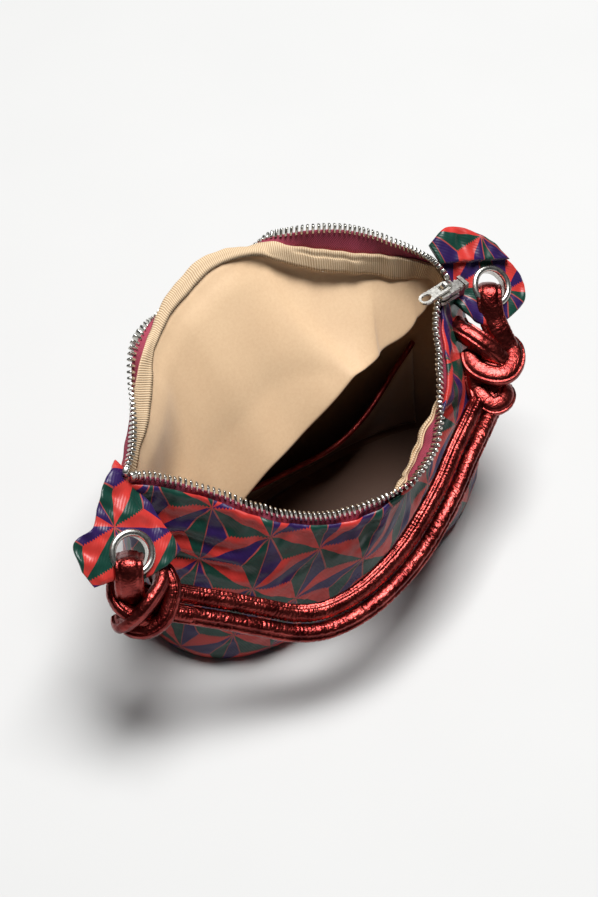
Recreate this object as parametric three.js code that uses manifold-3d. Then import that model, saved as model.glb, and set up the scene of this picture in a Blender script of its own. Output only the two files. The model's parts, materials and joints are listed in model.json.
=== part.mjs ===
// Small shoulder bag in jacquard cloth, standing open on its base: a slouching front, a back that
// leans away, a metal zip round the mouth, and a knotted strap of two rolled leather strands.
// Millimetres, +Z up. The origin is the middle of the base, X runs along the zip, the front faces -Y.
import * as THREE from 'three';
import { mergeVertices } from 'three/addons/utils/BufferGeometryUtils.js';
import Module from 'manifold-3d';

// Mouth and base
const ZIP_HALF_SPAN = 97; // half the distance between the zip's two ends
const ZIP_END_HEIGHT = 118;
const FRONT_BOW = 70; // how far the front rim hangs out from the line between the zip's ends
const FRONT_BOW_ANGLE = -35; // degrees, below the horizontal
const FRONT_BOW_POWER = 1.15; // above 1 the rim runs straighter towards the ends
const BACK_BOW = 71;
const BACK_BOW_ANGLE = 30; // degrees, above the horizontal
const BACK_BOW_POWER = 0.5; // below 1 the rim swells close to the ends
const BACK_LEFT_POWER = 0.64; // and a little less so at the left
const BASE_HALF_LENGTH = 112;
const BASE_SHIFT = -6; // the base stands a little to the left of the zip's middle
const BASE_FRONT_DEPTH = 58; // from the line below the zip's ends to the front edge
const BASE_BACK_DEPTH = 32; // the back wall leans out past its foot
const BASE_FULLNESS = 2.8; // 2 is an ellipse, more fills the corners
const FOOT_INSET = 8; // the walls roll under the bag by this much
const FRONT_BULGE = 9;
const BACK_BULGE = 5;
const SHOULDER = 0.5; // the walls are fullest at this share of their height
const BASE_STEPS = 28;

// Cloth layers, counted inwards from the outer face
const GAP = 0.3; // left between pieces that touch
const PANEL_THICKNESS = 1.6;
const TAPE_THICKNESS = 0.8;
const LINING_THICKNESS = 0.8;
const BINDING_THICKNESS = 1.2;
const TAPE_SHOWN = 10; // tape that stands above the back panel's top edge, and above both at the side seams
const FRONT_TAPE_SHOWN = 3;
const TAPE_WIDTH = 16;
const BINDING_TOP = 8; // distance from the rim down to the binding
const BINDING_WIDTH = 9;
const RIM_END = 12.5; // tape, binding and lining stop this far from the zip's ends
const RIM_COLUMNS = 25; // stations of the cloth layers along the rim
const PANEL_ROWS = 5;
const LINING_ROWS = 5;
const RIDGE_ROWS = 2; // under the ridge
const FALL_ROWS = 2; // above it
const RIDGE_DROP = 12; // under its ridge the back lining falls back to the wall within this height
const RIDGE = [
  { along: -130, height: 58, reach: 10 },
  { along: -32, height: 70, reach: 50 },
  { along: -4, height: 76, reach: 50 },
  { along: 28, height: 90, reach: 50 },
  { along: 64, height: 103, reach: 42 },
  { along: 98, height: 99, reach: 18 },
  { along: 130, height: 100, reach: 0 },
]; // from the rim's middle, up the wall and into the bag
const RIDGE_PAST = 18; // the ridge may pass the line between the zip's ends by this much at the middle
const RIDGE_PAST_POWER = 4; // and by much less towards the ends
const SEAM_GAP = 0.2; // half the gap between front and back panel at the side seams

// Zip
const TOOTH_PITCH = 2.5;
const TOOTH_LENGTH = 3.4;
const TOOTH_THICKNESS = 2.6;
const CORD_HEIGHT = 1.2; // corded edge that carries the teeth
const CORD_THICKNESS = 1.4;
const CHAIN_END = 14; // the rows of teeth stop this far from the zip's ends
const STOP_LENGTH = 4; // crimped top stops at the left end
const BOTTOM_STOP_LENGTH = 2;
const STOP_RIM = 1; // the bottom stop is this much wider and higher than the chain
const CLOSED_CHAIN_WIDTH = 6;
const CLOSED_CHAIN_NOTCH = 0.7;
const CLOSED_CHAIN_TO = ZIP_HALF_SPAN + 3;
const TAIL_THICKNESS = 2;
const TAIL_LIFT = 0.8; // the tail starts this far above the top corner of the panels

// Slider and pull
const SLIDER_X = ZIP_HALF_SPAN - 7;
const SLIDER_LENGTH = 11;
const SLIDER_MOUTH_WIDTH = 10;
const SLIDER_TAIL_WIDTH = 8.6;
const SLIDER_NOSE_WIDTH = 8; // the mouth's front edge, between its rounded corners
const SLIDER_NOSE = 1; // how far the front edge bows out
const SLIDER_PLATE = 1;
const SLIDER_CLEARANCE = 0.4;
const SLIDER_TAPE_SLOT = 1.6;
const SLIDER_TRAVEL = 4;
const POST_LENGTH = 3.2;
const POST_WIDTH = 2.4;
const BRIDGE_HALF_LENGTH = 3.6;
const BRIDGE_RISE = 4.6;
const BRIDGE_WIRE = 1.2;
const BRIDGE_WIDTH = 2.4;
const PULL_LENGTH = 18;
const PULL_WIDTH = 7;
const PULL_THICKNESS = 1.4;
const PULL_BAR = 1.4; // width of the pull's metal beside its openings
const PULL_SHOULDER = 12.6; // from the hinge to the widest place
const PULL_NECK = 10.8; // from the hinge to where the neck flares
const PULL_WINDOW = 5.8; // length of the opening in the wide end
const PULL_DROOP = 4; // degrees below the horizontal at rest

// Wings and eyelets
const WING_THICKNESS = 3;
const WING_DROP = 16; // edge of the wing below the eyelet's centre
const LEFT_WING_RISE = [18, 22, 18]; // edge of the wing above it: inside, over and outside the eyelet
const RIGHT_WING_RISE = [28, 29, 18];
const WING_REACH = 19; // edge of the wing outwards from it
const WING_COLUMNS = 14;
const WING_WAIST = 2; // the wing widens this far inside the eyelet
const WING_ROWS = 4;
const WING_MARGIN = 1; // cloth between the eyelet's flange and the inner edge
const WING_TURN = 3; // the wing turns to face up within a third of its length
const WING_CORNER_RISE = 11; // height of the outer edge's two corners
const WING_CORNER_DROP = 9.6;
const WING_ROUNDING = 2; // how much the edges draw in beside the eyelet
const WING_WAIST_TOP = 1.6; // edges of the waist, below the eyelet's centre
const WING_WAIST_LOW = 11.2;
const WING_NECK_TOP = ZIP_END_HEIGHT - 11; // the seam that holds the wing
const WING_NECK_BOTTOM = ZIP_END_HEIGHT - 26;
const EYELET_REACH = 20; // the eyelets lie this far beyond the zip's ends
const LEFT_EYELET_DROP = 18; // and this far below them
const RIGHT_EYELET_DROP = 9.6;
const LEFT_EYELET_FORWARD = 23.7; // and this far in front of them
const RIGHT_EYELET_FORWARD = 4.2;
const EYELET_X = ZIP_HALF_SPAN + EYELET_REACH;
const LEFT_EYELET = new THREE.Vector3(-EYELET_X, -LEFT_EYELET_FORWARD, ZIP_END_HEIGHT - LEFT_EYELET_DROP);
const RIGHT_EYELET = new THREE.Vector3(EYELET_X, -RIGHT_EYELET_FORWARD, ZIP_END_HEIGHT - RIGHT_EYELET_DROP);
const LEFT_WING_ANGLE = 40; // degrees that the wing slopes down to the front
const RIGHT_WING_ANGLE = 37;
const EYELET_HOLE = 15.4;
const EYELET_OUTER = 22;
const EYELET_FLANGE = 0.9;
const EYELET_WALL = 0.8;
const WASHER_THICKNESS = 0.8;
const RING_SIDES = 16;
const CROWN_SHOULDER = 0.7; // height of the rings' edges, as a share of the crown's
const CROWN_LIP = 0.5;

// Strap
const STRAND_DIAMETER = 9;
const STRAND_SIDES = 8;
const STRAND_STEPS = 26;
const STRAP_FACE = new THREE.Vector3(0, -0.6, 0.8); // the way both strands look
const STRAP_ROUTE = [
  [-102, -46, 71.5],
  [-86.5, -56, 63.5],
  [-74.5, -64, 57],
  [-62, -72, 50.5],
  [-50.5, -78, 48.5],
  [-37, -81, 48.5],
  [-23.5, -82, 50.5],
  [-7.5, -80, 52.5],
  [9, -76, 55.5],
  [24.5, -71, 61.5],
  [40.5, -64, 66],
  [55.5, -56, 71],
  [70, -48.5, 73],
  [80.5, -42.5, 72.5],
  [89, -37.5, 71],
].map((point) => new THREE.Vector3(...point));
const LOOP_SIDE_GAP = 1.45; // between the eyelet and the strand that is pressed flat in it
const LOOP_WIDTH = EYELET_HOLE - 2 * LOOP_SIDE_GAP;
const LOOP_THICKNESS = 5.5;
const LOOP_STEPS = 14;
const LOOP_BEND = 4.5; // length of the loop's bends over the eyelet and the wing's edge
const LOOP_SLACK = 1.2; // the loop stands off the flange by this much
const LOOP_BACK = 17; // how far the loop swings out behind the wing
const LOOP_QUARTERS = 7;
const KNOT_TUBE = 10.5;
const KNOT_WRAP_RADIUS = 8;
const LEFT_KNOT_TURNS = 1.7;
const RIGHT_KNOT_TURNS = 2.2;
const KNOT_STEPS_PER_TURN = 10;
const KNOT_SIDES = 6;
const KNOT_CORE_STEPS = 6;
const KNOT_MOUTH = 6; // the core runs straight for this much before the strands leave
const LEFT_KNOT_HANG = new THREE.Vector3(-2, -15.8, -25); // from the eyelet to where its loop closes
const RIGHT_KNOT_HANG = new THREE.Vector3(-6, -25.8, -28.4);

// Pocket on the back lining
const POCKET_HALF_WIDTH = 68;
const POCKET_CENTRE = 36; // to the right of the zip's middle
const POCKET_FOOT = 9; // from the wall's foot up to the pocket's lower seam
const POCKET_HEIGHT_LEFT = 22; // from the wall's foot up to the pocket's mouth
const POCKET_HEIGHT_RIGHT = 66;
const POCKET_SLANT_POWER = 2.2; // above 1 the mouth runs level before it rises
const POCKET_GAPE = 21;
const POCKET_SPREAD_POWER = 0.7; // below 1 the gape stays wide towards the pocket's sides
const POCKET_THICKNESS = 0.9;
const POCKET_COLUMNS = 12;
const POCKET_ROWS = 5;
const POCKET_GAPE_POWER = 1.5; // above 1 the gape opens late, near the mouth
const POCKET_SEAM = 1.1; // the pocket's sewn edge stands off the lining by this much
const PIPING_DIAMETER = 3;
const PIPING_SIDES = 6;

const wasm = await Module();
wasm.setup();

const radians = THREE.MathUtils.degToRad;
const X_AXIS = new THREE.Vector3(1, 0, 0);
const FRONT = -1;
const BACK = 1;

// Finishes, one for each kind of material on the bag
const finish = (color, roughness, metalness = 0) =>
  new THREE.MeshStandardMaterial({ color, roughness, metalness });
const JACQUARD = finish('#a8423f', 0.55);
const LINING = finish('#d2ab7c', 0.6);
const BINDING = finish('#bfa67c', 0.8);
const TAPE = finish('#6d1f35', 0.8);
const NICKEL = finish('#c9c8c4', 0.25, 1);
const LEATHER = finish('#9c2f2b', 0.35, 0.6);

const bag = new THREE.Group();

function addPiece(name, geometry, material, parent = bag) {
  geometry.computeVertexNormals();
  const mesh = new THREE.Mesh(geometry, material);
  mesh.name = name;
  parent.add(mesh);
  return mesh;
}

// Joining and cutting of closed solids
function toSolid(geometry) {
  const bare = geometry.clone();
  bare.deleteAttribute('normal');
  bare.deleteAttribute('uv');
  const merged = mergeVertices(bare, 1e-4);
  const vertProperties = new Float32Array(merged.attributes.position.array);
  const triVerts = new Uint32Array(merged.index.array);
  return new wasm.Manifold(new wasm.Mesh({ numProp: 3, vertProperties, triVerts }));
}

function fromSolid(solid) {
  const mesh = solid.getMesh();
  const geometry = new THREE.BufferGeometry();
  geometry.setAttribute('position', new THREE.BufferAttribute(mesh.vertProperties, 3));
  geometry.setIndex(new THREE.BufferAttribute(mesh.triVerts, 1));
  return geometry;
}

const join = (...parts) => fromSolid(parts.map(toSolid).reduce((sum, part) => sum.add(part)));
const cut = (body, ...tools) =>
  fromSolid(tools.map(toSolid).reduce((rest, tool) => rest.subtract(tool), toSolid(body)));

// A closed shell between two grids of points, each grid a list of columns of equal length
function shell(outer, inner) {
  const columns = outer.length;
  const rows = outer[0].length;
  const points = [...outer.flat(), ...inner.flat()];
  const faces = [];
  const at = (layer, i, j) => layer * columns * rows + i * rows + j;
  const quad = (a, b, c, d) => faces.push(a, b, c, a, c, d);
  for (let i = 0; i + 1 < columns; i += 1) {
    for (let j = 0; j + 1 < rows; j += 1) {
      quad(at(0, i, j), at(0, i + 1, j), at(0, i + 1, j + 1), at(0, i, j + 1));
      quad(at(1, i, j), at(1, i, j + 1), at(1, i + 1, j + 1), at(1, i + 1, j));
    }
    quad(at(0, i + 1, 0), at(0, i, 0), at(1, i, 0), at(1, i + 1, 0));
    quad(at(0, i, rows - 1), at(0, i + 1, rows - 1), at(1, i + 1, rows - 1), at(1, i, rows - 1));
  }
  for (let j = 0; j + 1 < rows; j += 1) {
    const last = columns - 1;
    quad(at(0, 0, j), at(0, 0, j + 1), at(1, 0, j + 1), at(1, 0, j));
    quad(at(0, last, j + 1), at(0, last, j), at(1, last, j), at(1, last, j + 1));
  }
  return closedMesh(points, faces);
}

// A closed tube through rings of points, with flat ends
function ringTube(rings) {
  const sides = rings[0].length;
  const faces = [];
  for (let i = 0; i + 1 < rings.length; i += 1) {
    for (let j = 0; j < sides; j += 1) {
      const k = (j + 1) % sides;
      const [a, b] = [i * sides, (i + 1) * sides];
      faces.push(a + j, a + k, b + k, a + j, b + k, b + j);
    }
  }
  const end = (rings.length - 1) * sides;
  for (let j = 1; j + 1 < sides; j += 1) {
    faces.push(0, j + 1, j, end, end + j, end + j + 1);
  }
  return closedMesh(rings.flat(), faces);
}

function closedMesh(points, faces) {
  const geometry = new THREE.BufferGeometry().setFromPoints(points);
  let volume = 0;
  for (let i = 0; i < faces.length; i += 3) {
    const [a, b, c] = [points[faces[i]], points[faces[i + 1]], points[faces[i + 2]]];
    volume += a.dot(b.clone().cross(c));
  }
  geometry.setIndex(volume < 0 ? faces.reverse() : faces);
  return geometry;
}

const steps = (count) => Array.from({ length: count + 1 }, (_, i) => i / count);

// Walls: the base's edge, the zip's rim, and a rolled-under, bulging profile between them
class BaseEdge extends THREE.Curve {
  constructor(side) {
    super();
    this.side = side;
    this.depth = side === FRONT ? BASE_FRONT_DEPTH : BASE_BACK_DEPTH;
    this.arcLengthDivisions = 400;
  }

  getPoint(t, target = new THREE.Vector3()) {
    const angle = Math.PI * (1 - t);
    const power = 2 / BASE_FULLNESS;
    const x = BASE_HALF_LENGTH * Math.sign(Math.cos(angle)) * Math.abs(Math.cos(angle)) ** power;
    const y = this.side * this.depth * Math.abs(Math.sin(angle)) ** power;
    return target.set(BASE_SHIFT + x, y, 0);
  }
}

class ZipRim extends THREE.Curve {
  constructor(side) {
    super();
    this.side = side;
    this.arcLengthDivisions = 400;
    this.bow = side === FRONT ? FRONT_BOW : BACK_BOW;
    this.angle = radians(side === FRONT ? FRONT_BOW_ANGLE : BACK_BOW_ANGLE);
    this.leftPower = side === FRONT ? FRONT_BOW_POWER : BACK_LEFT_POWER;
    this.rightPower = side === FRONT ? FRONT_BOW_POWER : BACK_BOW_POWER;
  }

  getPoint(t, target = new THREE.Vector3()) {
    const x = -ZIP_HALF_SPAN * Math.cos(Math.PI * t);
    const power = x < 0 ? this.leftPower : this.rightPower;
    const swing = Math.max(0, Math.cos((Math.PI * x) / (2 * ZIP_HALF_SPAN))) ** power;
    const y = this.side * this.bow * swing * Math.cos(this.angle);
    const z = ZIP_END_HEIGHT + this.bow * swing * Math.sin(this.angle);
    return target.set(x, y, z);
  }
}

class Wall {
  constructor(side, bulge) {
    this.side = side;
    this.bulge = bulge;
    this.base = new BaseEdge(side);
    this.rim = new ZipRim(side);
    this.rimLength = this.rim.getLength();
  }

  outward(u) {
    const along = this.base.getTangentAt(u);
    return new THREE.Vector3(along.y, -along.x, 0).multiplyScalar(-this.side).normalize();
  }

  profile(u) {
    const edge = this.base.getPointAt(u);
    const rim = this.rim.getPointAt(u);
    const outward = this.outward(u);
    const bulge = this.bulge * Math.sqrt(Math.max(0, Math.sin(Math.PI * u)));
    const foot = edge.clone().addScaledVector(outward, -FOOT_INSET);
    const low = edge.clone().addScaledVector(outward, bulge / 2);
    const high = edge.clone().lerp(rim, SHOULDER).addScaledVector(outward, bulge);
    return new THREE.CubicBezierCurve3(foot, low, high, rim);
  }

  // Point at u along the bag and s up the profile, sunk by depth from the outer face
  point(u, s, depth) {
    const frame = this.frame(u, s);
    const place = frame.place.addScaledVector(frame.normal, -depth);
    const least = SEAM_GAP - RIDGE_PAST * Math.sin(Math.PI * u) ** RIDGE_PAST_POWER;
    place.y = this.side * Math.max(this.side * place.y, least);
    return place;
  }

  frame(u, s) {
    const [before, after] = [Math.max(0, u - 1e-3), Math.min(1, u + 1e-3)];
    const profile = this.profile(u);
    const place = profile.getPointAt(s);
    const up = profile.getTangentAt(s);
    const along = this.profile(after).getPointAt(s).sub(this.profile(before).getPointAt(s)).normalize();
    const normal = along.clone().cross(up).multiplyScalar(-this.side).normalize();
    return { place, up, along, normal };
  }

  // Height s of the point that lies a distance below the rim
  below(u, distance) {
    return 1 - distance / this.profile(u).getLength();
  }

  // Height s of the point that lies a distance above the foot
  above(u, distance) {
    return distance / this.profile(u).getLength();
  }

  // Stations along the rim that the cloth layers share, so that they lie against each other
  stations() {
    const margin = RIM_END / this.rimLength;
    return steps(RIM_COLUMNS).map((t) => margin + (1 - 2 * margin) * t);
  }

  // A layer of cloth over stations u and heights(u), between two depths below the outer face
  layer({ stations, heights, near, far }) {
    const grid = (depth) =>
      stations.map((u) =>
        heights(u).map((s, _, all) => {
          const rise = (s - all[0]) / (all.at(-1) - all[0]);
          return this.point(u, s, typeof depth === 'function' ? depth(u, rise) : depth);
        }),
      );
    return shell(grid(near), grid(far));
  }
}

const walls = [
  { name: 'front', wall: new Wall(FRONT, FRONT_BULGE) },
  { name: 'back', wall: new Wall(BACK, BACK_BULGE) },
];
const tapeDepth = PANEL_THICKNESS + GAP;
const liningDepth = tapeDepth + TAPE_THICKNESS + GAP;
const bindingDepth = liningDepth + LINING_THICKNESS + GAP;

const bindingFoot = BINDING_TOP + BINDING_WIDTH;
const rows = (from, to, count) => steps(count).map((t) => from + (to - from) * t);

// Ridge where the back lining breaks: its height up the wall and its reach into the bag at u
function ridgeAt(wall, u) {
  const along = (u - 0.5) * wall.rimLength;
  const next = Math.max(1, RIDGE.findIndex((point) => point.along >= along));
  const [a, b] = [RIDGE[next - 1], RIDGE[next]];
  const t = (along - a.along) / (b.along - a.along);
  const { lerp } = THREE.MathUtils;
  return { height: lerp(a.height, b.height, t), reach: lerp(a.reach, b.reach, t) };
}

const liningTop = BINDING_TOP + GAP;
const plainRows = (wall, u) => [
  ...rows(0, wall.below(u, bindingFoot), LINING_ROWS),
  wall.below(u, liningTop),
];

function ridgeRows(wall, u) {
  const { height } = ridgeAt(wall, u);
  const [foot, first] = plainRows(wall, u);
  const below = rows(first, wall.above(u, height - RIDGE_DROP), RIDGE_ROWS);
  const fall = rows(wall.above(u, height), wall.below(u, bindingFoot), FALL_ROWS);
  return [foot, ...below, ...fall, wall.below(u, liningTop)];
}

// How far the back lining stands off the wall: a flat fall to the ridge and a drop under it
function ridgeStand(wall, u, rise) {
  const { height, reach } = ridgeAt(wall, u);
  const tall = wall.profile(u).getLength();
  const at = rise * (tall - liningTop);
  const above = (tall - bindingFoot - at) / (tall - bindingFoot - height);
  const below = (at - height + RIDGE_DROP) / RIDGE_DROP;
  return reach * THREE.MathUtils.clamp(Math.min(above, below), 0, 1);
}

for (const { name, wall } of walls) {
  const shared = wall.stations();
  const corner = shared[0] / 2;
  const shown = (u) => (wall.side === FRONT && shared.includes(u) ? FRONT_TAPE_SHOWN : TAPE_SHOWN);
  const panel = wall.layer({
    stations: [0, corner, ...shared, 1 - corner, 1],
    heights: (u) => [...rows(0, wall.below(u, bindingFoot), PANEL_ROWS), wall.below(u, shown(u))],
    near: 0,
    far: PANEL_THICKNESS,
  });
  addPiece(`${name}_panel`, panel, JACQUARD);
  const tape = wall.layer({
    stations: shared,
    heights: (u) => [TAPE_WIDTH, BINDING_TOP, 0].map((distance) => wall.below(u, distance)),
    near: tapeDepth,
    far: tapeDepth + TAPE_THICKNESS,
  });
  addPiece(`${name}_zip_tape`, tape, TAPE);
  const stand = wall.side === FRONT ? () => 0 : (u, rise) => ridgeStand(wall, u, rise);
  const lining = wall.layer({
    stations: shared,
    heights: (u) => (wall.side === FRONT ? plainRows(wall, u) : ridgeRows(wall, u)),
    near: (u, rise) => liningDepth + stand(u, rise),
    far: (u, rise) => liningDepth + LINING_THICKNESS + stand(u, rise),
  });
  addPiece(`${name}_lining`, lining, LINING);
  const binding = wall.layer({
    stations: shared,
    heights: (u) => [bindingFoot, BINDING_TOP].map((distance) => wall.below(u, distance)),
    near: bindingDepth,
    far: bindingDepth + BINDING_THICKNESS,
  });
  addPiece(`${name}_binding`, binding, BINDING);
}

// Base: two flat plates inside the rolled-under foot of the walls
function basePlate(height, thickness) {
  const outline = walls.flatMap(({ wall }) =>
    steps(BASE_STEPS).slice(0, -1).map((t) => {
      const u = wall.side === FRONT ? t : 1 - t;
      const edge = wall.base.getPointAt(u);
      return edge.addScaledVector(wall.outward(u), -FOOT_INSET - GAP);
    }),
  );
  const shape = new THREE.Shape(outline.map((point) => new THREE.Vector2(point.x, point.y)));
  const plate = new THREE.ExtrudeGeometry(shape, { depth: thickness, bevelEnabled: false });
  return plate.translate(0, 0, height);
}

addPiece('base_panel', basePlate(0, PANEL_THICKNESS), JACQUARD);
addPiece('base_lining', basePlate(liningDepth, LINING_THICKNESS), LINING);

// Slip pocket: sewn to the back lining at its sides and foot, with a mouth that gapes
const backWall = walls[1].wall;
const pocketFrom = 0.5 + (POCKET_CENTRE - POCKET_HALF_WIDTH) / backWall.rimLength;
const pocketTo = 0.5 + (POCKET_CENTRE + POCKET_HALF_WIDTH) / backWall.rimLength;
const pocketDepth = liningDepth + LINING_THICKNESS + POCKET_SEAM;
const pocketShare = (u) => THREE.MathUtils.clamp((u - pocketFrom) / (pocketTo - pocketFrom), 0, 1);
const pocketMouth = (u) => {
  const rise = pocketShare(u) ** POCKET_SLANT_POWER;
  return THREE.MathUtils.lerp(POCKET_HEIGHT_LEFT, POCKET_HEIGHT_RIGHT, rise);
};
const pocketSwell = (u, rise) => {
  const across = Math.max(0, Math.sin(Math.PI * pocketShare(u))) ** POCKET_SPREAD_POWER;
  return POCKET_GAPE * across * rise ** POCKET_GAPE_POWER;
};
const pocket = backWall.layer({
  stations: rows(pocketFrom, pocketTo, POCKET_COLUMNS),
  heights: (u) => rows(backWall.above(u, POCKET_FOOT), backWall.above(u, pocketMouth(u)), POCKET_ROWS),
  near: (u, rise) => pocketDepth + pocketSwell(u, rise),
  far: (u, rise) => pocketDepth + POCKET_THICKNESS + pocketSwell(u, rise),
});
addPiece('pocket_panel', pocket, LINING);

const pipingLine = rows(pocketFrom, pocketTo, POCKET_COLUMNS).map((u) => {
  const height = pocketMouth(u) + PIPING_DIAMETER / 2 + 2 * GAP;
  const depth = pocketDepth + Math.max(PIPING_DIAMETER / 2, POCKET_THICKNESS / 2 + pocketSwell(u, 1));
  return backWall.point(u, backWall.above(u, height), depth);
});
addPiece('pocket_piping', tube(pipingLine, circle(PIPING_DIAMETER, PIPING_SIDES), POCKET_COLUMNS), LEATHER);

function circle(diameter, sides) {
  const points = steps(sides).slice(0, -1).map((t) => {
    const angle = 2 * Math.PI * t;
    return new THREE.Vector2(Math.cos(angle), Math.sin(angle)).multiplyScalar(diameter / 2);
  });
  return new THREE.Shape(points);
}

function tube(points, section, count) {
  const extrudePath = new THREE.CatmullRomCurve3(points, false, 'centripetal');
  return new THREE.ExtrudeGeometry(section, { steps: count, extrudePath, bevelEnabled: false });
}

// Zip teeth: one comb of teeth and corded edge above each tape
const chainDepth = tapeDepth + TAPE_THICKNESS / 2;
const TOOTH_RINGS = [
  { at: 0, height: CORD_HEIGHT, thickness: CORD_THICKNESS },
  { at: 0.3, height: TOOTH_LENGTH, thickness: TOOTH_THICKNESS },
  { at: 0.72, height: TOOTH_LENGTH, thickness: TOOTH_THICKNESS },
];

function chainRing(wall, u, { height, thickness }) {
  const { up, normal } = wall.frame(u, 1);
  const root = wall.point(u, 1, chainDepth).addScaledVector(up, GAP);
  const corner = (rise, side) =>
    root.clone().addScaledVector(up, rise).addScaledVector(normal, (side * thickness) / 2);
  return [corner(0, -1), corner(height, -1), corner(height, 1), corner(0, 1)];
}

for (const { name, wall } of walls) {
  const teeth = Math.floor((wall.rimLength - 2 * CHAIN_END) / TOOTH_PITCH);
  const first = (wall.rimLength - teeth * TOOTH_PITCH) / 2;
  const rings = [];
  for (let i = 0; i < teeth; i += 1) {
    for (const ring of TOOTH_RINGS) {
      rings.push(chainRing(wall, (first + (i + ring.at) * TOOTH_PITCH) / wall.rimLength, ring));
    }
  }
  rings.push(chainRing(wall, 1 - first / wall.rimLength, TOOTH_RINGS[0]));
  addPiece(`${name}_zip_teeth`, ringTube(rings), NICKEL);
  const stopFrom = (first - GAP - STOP_LENGTH) / wall.rimLength;
  const stopTo = (first - GAP) / wall.rimLength;
  const stop = ringTube([stopFrom, stopTo].map((u) => chainRing(wall, u, TOOTH_RINGS[1])));
  addPiece(`${name}_top_stop`, stop, NICKEL);
}

// Closed stretch of chain inside the slider, its bottom stop, and the folded tails of the tape
const postEnd = SLIDER_X - SLIDER_LENGTH / 2 + POST_LENGTH + SLIDER_CLEARANCE;
const closedFrom = postEnd + SLIDER_TRAVEL + SLIDER_CLEARANCE;
const closedChain = new THREE.Shape();
const closedTeeth = Math.round((CLOSED_CHAIN_TO - closedFrom) / (TOOTH_PITCH / 2));
const closedPitch = (CLOSED_CHAIN_TO - closedFrom) / closedTeeth;
const closedEdge = (i) => CLOSED_CHAIN_WIDTH / 2 - (i % 2 === 0 ? 0 : CLOSED_CHAIN_NOTCH);
closedChain.moveTo(closedFrom, -closedEdge(0));
for (let i = 0; i < closedTeeth; i += 1) {
  closedChain.lineTo(closedFrom + i * closedPitch, -closedEdge(i));
  closedChain.lineTo(closedFrom + (i + 1) * closedPitch, -closedEdge(i));
}
for (let i = closedTeeth - 1; i >= 0; i -= 1) {
  closedChain.lineTo(closedFrom + (i + 1) * closedPitch, closedEdge(i));
  closedChain.lineTo(closedFrom + i * closedPitch, closedEdge(i));
}
const closedBar = new THREE.ExtrudeGeometry(closedChain, { depth: TOOTH_THICKNESS, bevelEnabled: false });
addPiece('closed_zip_chain', closedBar.translate(0, 0, ZIP_END_HEIGHT - TOOTH_THICKNESS / 2), NICKEL);

const stopWidth = CLOSED_CHAIN_WIDTH + STOP_RIM;
const stopHeight = TOOTH_THICKNESS + STOP_RIM;
const stopFrom = CLOSED_CHAIN_TO + GAP;
const stopTo = stopFrom + BOTTOM_STOP_LENGTH;
const bottomStop = new THREE.BoxGeometry(BOTTOM_STOP_LENGTH, stopWidth, stopHeight);
addPiece('bottom_stop', bottomStop.translate((stopFrom + stopTo) / 2, 0, ZIP_END_HEIGHT), NICKEL);

// Each tail stands on the side seam, clears the slider and rises to the zip's end
const channelHeight = TOOTH_THICKNESS + 2 * SLIDER_CLEARANCE;
const sliderHeight = channelHeight + 2 * SLIDER_PLATE;
for (const [name, end] of [['left', 0], ['right', 1]]) {
  const seam = walls[0].wall.profile(end).getPointAt(walls[0].wall.below(end, TAPE_SHOWN));
  const outwards = end === 0 ? -1 : 1;
  const underSlider = ZIP_END_HEIGHT - sliderHeight / 2 - GAP;
  const underStop = ZIP_END_HEIGHT - stopHeight / 2 - GAP;
  const tail = new THREE.Shape();
  tail.moveTo(outwards * ZIP_HALF_SPAN, seam.z + TAIL_LIFT);
  tail.lineTo(outwards * stopTo, seam.z + TAIL_LIFT);
  tail.lineTo(outwards * stopTo, underStop);
  tail.lineTo(outwards * CLOSED_CHAIN_TO, underStop);
  tail.lineTo(outwards * CLOSED_CHAIN_TO, underSlider);
  tail.lineTo(outwards * (ZIP_HALF_SPAN - TAIL_THICKNESS), underSlider);
  tail.closePath();
  const solid = new THREE.ExtrudeGeometry(tail, { depth: TAIL_THICKNESS, bevelEnabled: false });
  addPiece(`${name}_tape_tail`, solid.rotateX(Math.PI / 2).translate(0, TAIL_THICKNESS / 2, 0), TAPE);
}

// Slider: two plates held apart by a post at the mouth, with a bridge for the pull
const half = SLIDER_LENGTH / 2;

function sliderOutline() {
  const [mouth, nose, tail] = [SLIDER_MOUTH_WIDTH / 2, SLIDER_NOSE_WIDTH / 2, SLIDER_TAIL_WIDTH / 2];
  const shape = new THREE.Shape();
  shape.moveTo(half, -tail);
  shape.lineTo(half, tail);
  shape.lineTo(0, tail);
  shape.quadraticCurveTo(-half / 2, mouth, -half, nose);
  shape.quadraticCurveTo(-half - SLIDER_NOSE, 0, -half, -nose);
  shape.quadraticCurveTo(-half / 2, -mouth, 0, -tail);
  return shape;
}

function sliderPost() {
  const middle = -half + POST_LENGTH / 2 + SLIDER_CLEARANCE;
  const post = new THREE.Path();
  post.moveTo(middle - POST_LENGTH / 2, 0);
  post.lineTo(middle, -POST_WIDTH / 2);
  post.lineTo(middle + POST_LENGTH / 2, 0);
  post.lineTo(middle, POST_WIDTH / 2);
  return post;
}

function sliderCut(width, height) {
  const shape = new THREE.Shape();
  shape.moveTo(-SLIDER_LENGTH, -width / 2);
  shape.lineTo(SLIDER_LENGTH, -width / 2);
  shape.lineTo(SLIDER_LENGTH, width / 2);
  shape.lineTo(-SLIDER_LENGTH, width / 2);
  shape.holes.push(sliderPost());
  const slab = new THREE.ExtrudeGeometry(shape, { depth: height, bevelEnabled: false });
  return slab.translate(0, 0, -height / 2);
}

// An arch's peak is three quarters of its Bezier handles
const HANDLE_RISE = 4 / 3;

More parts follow.
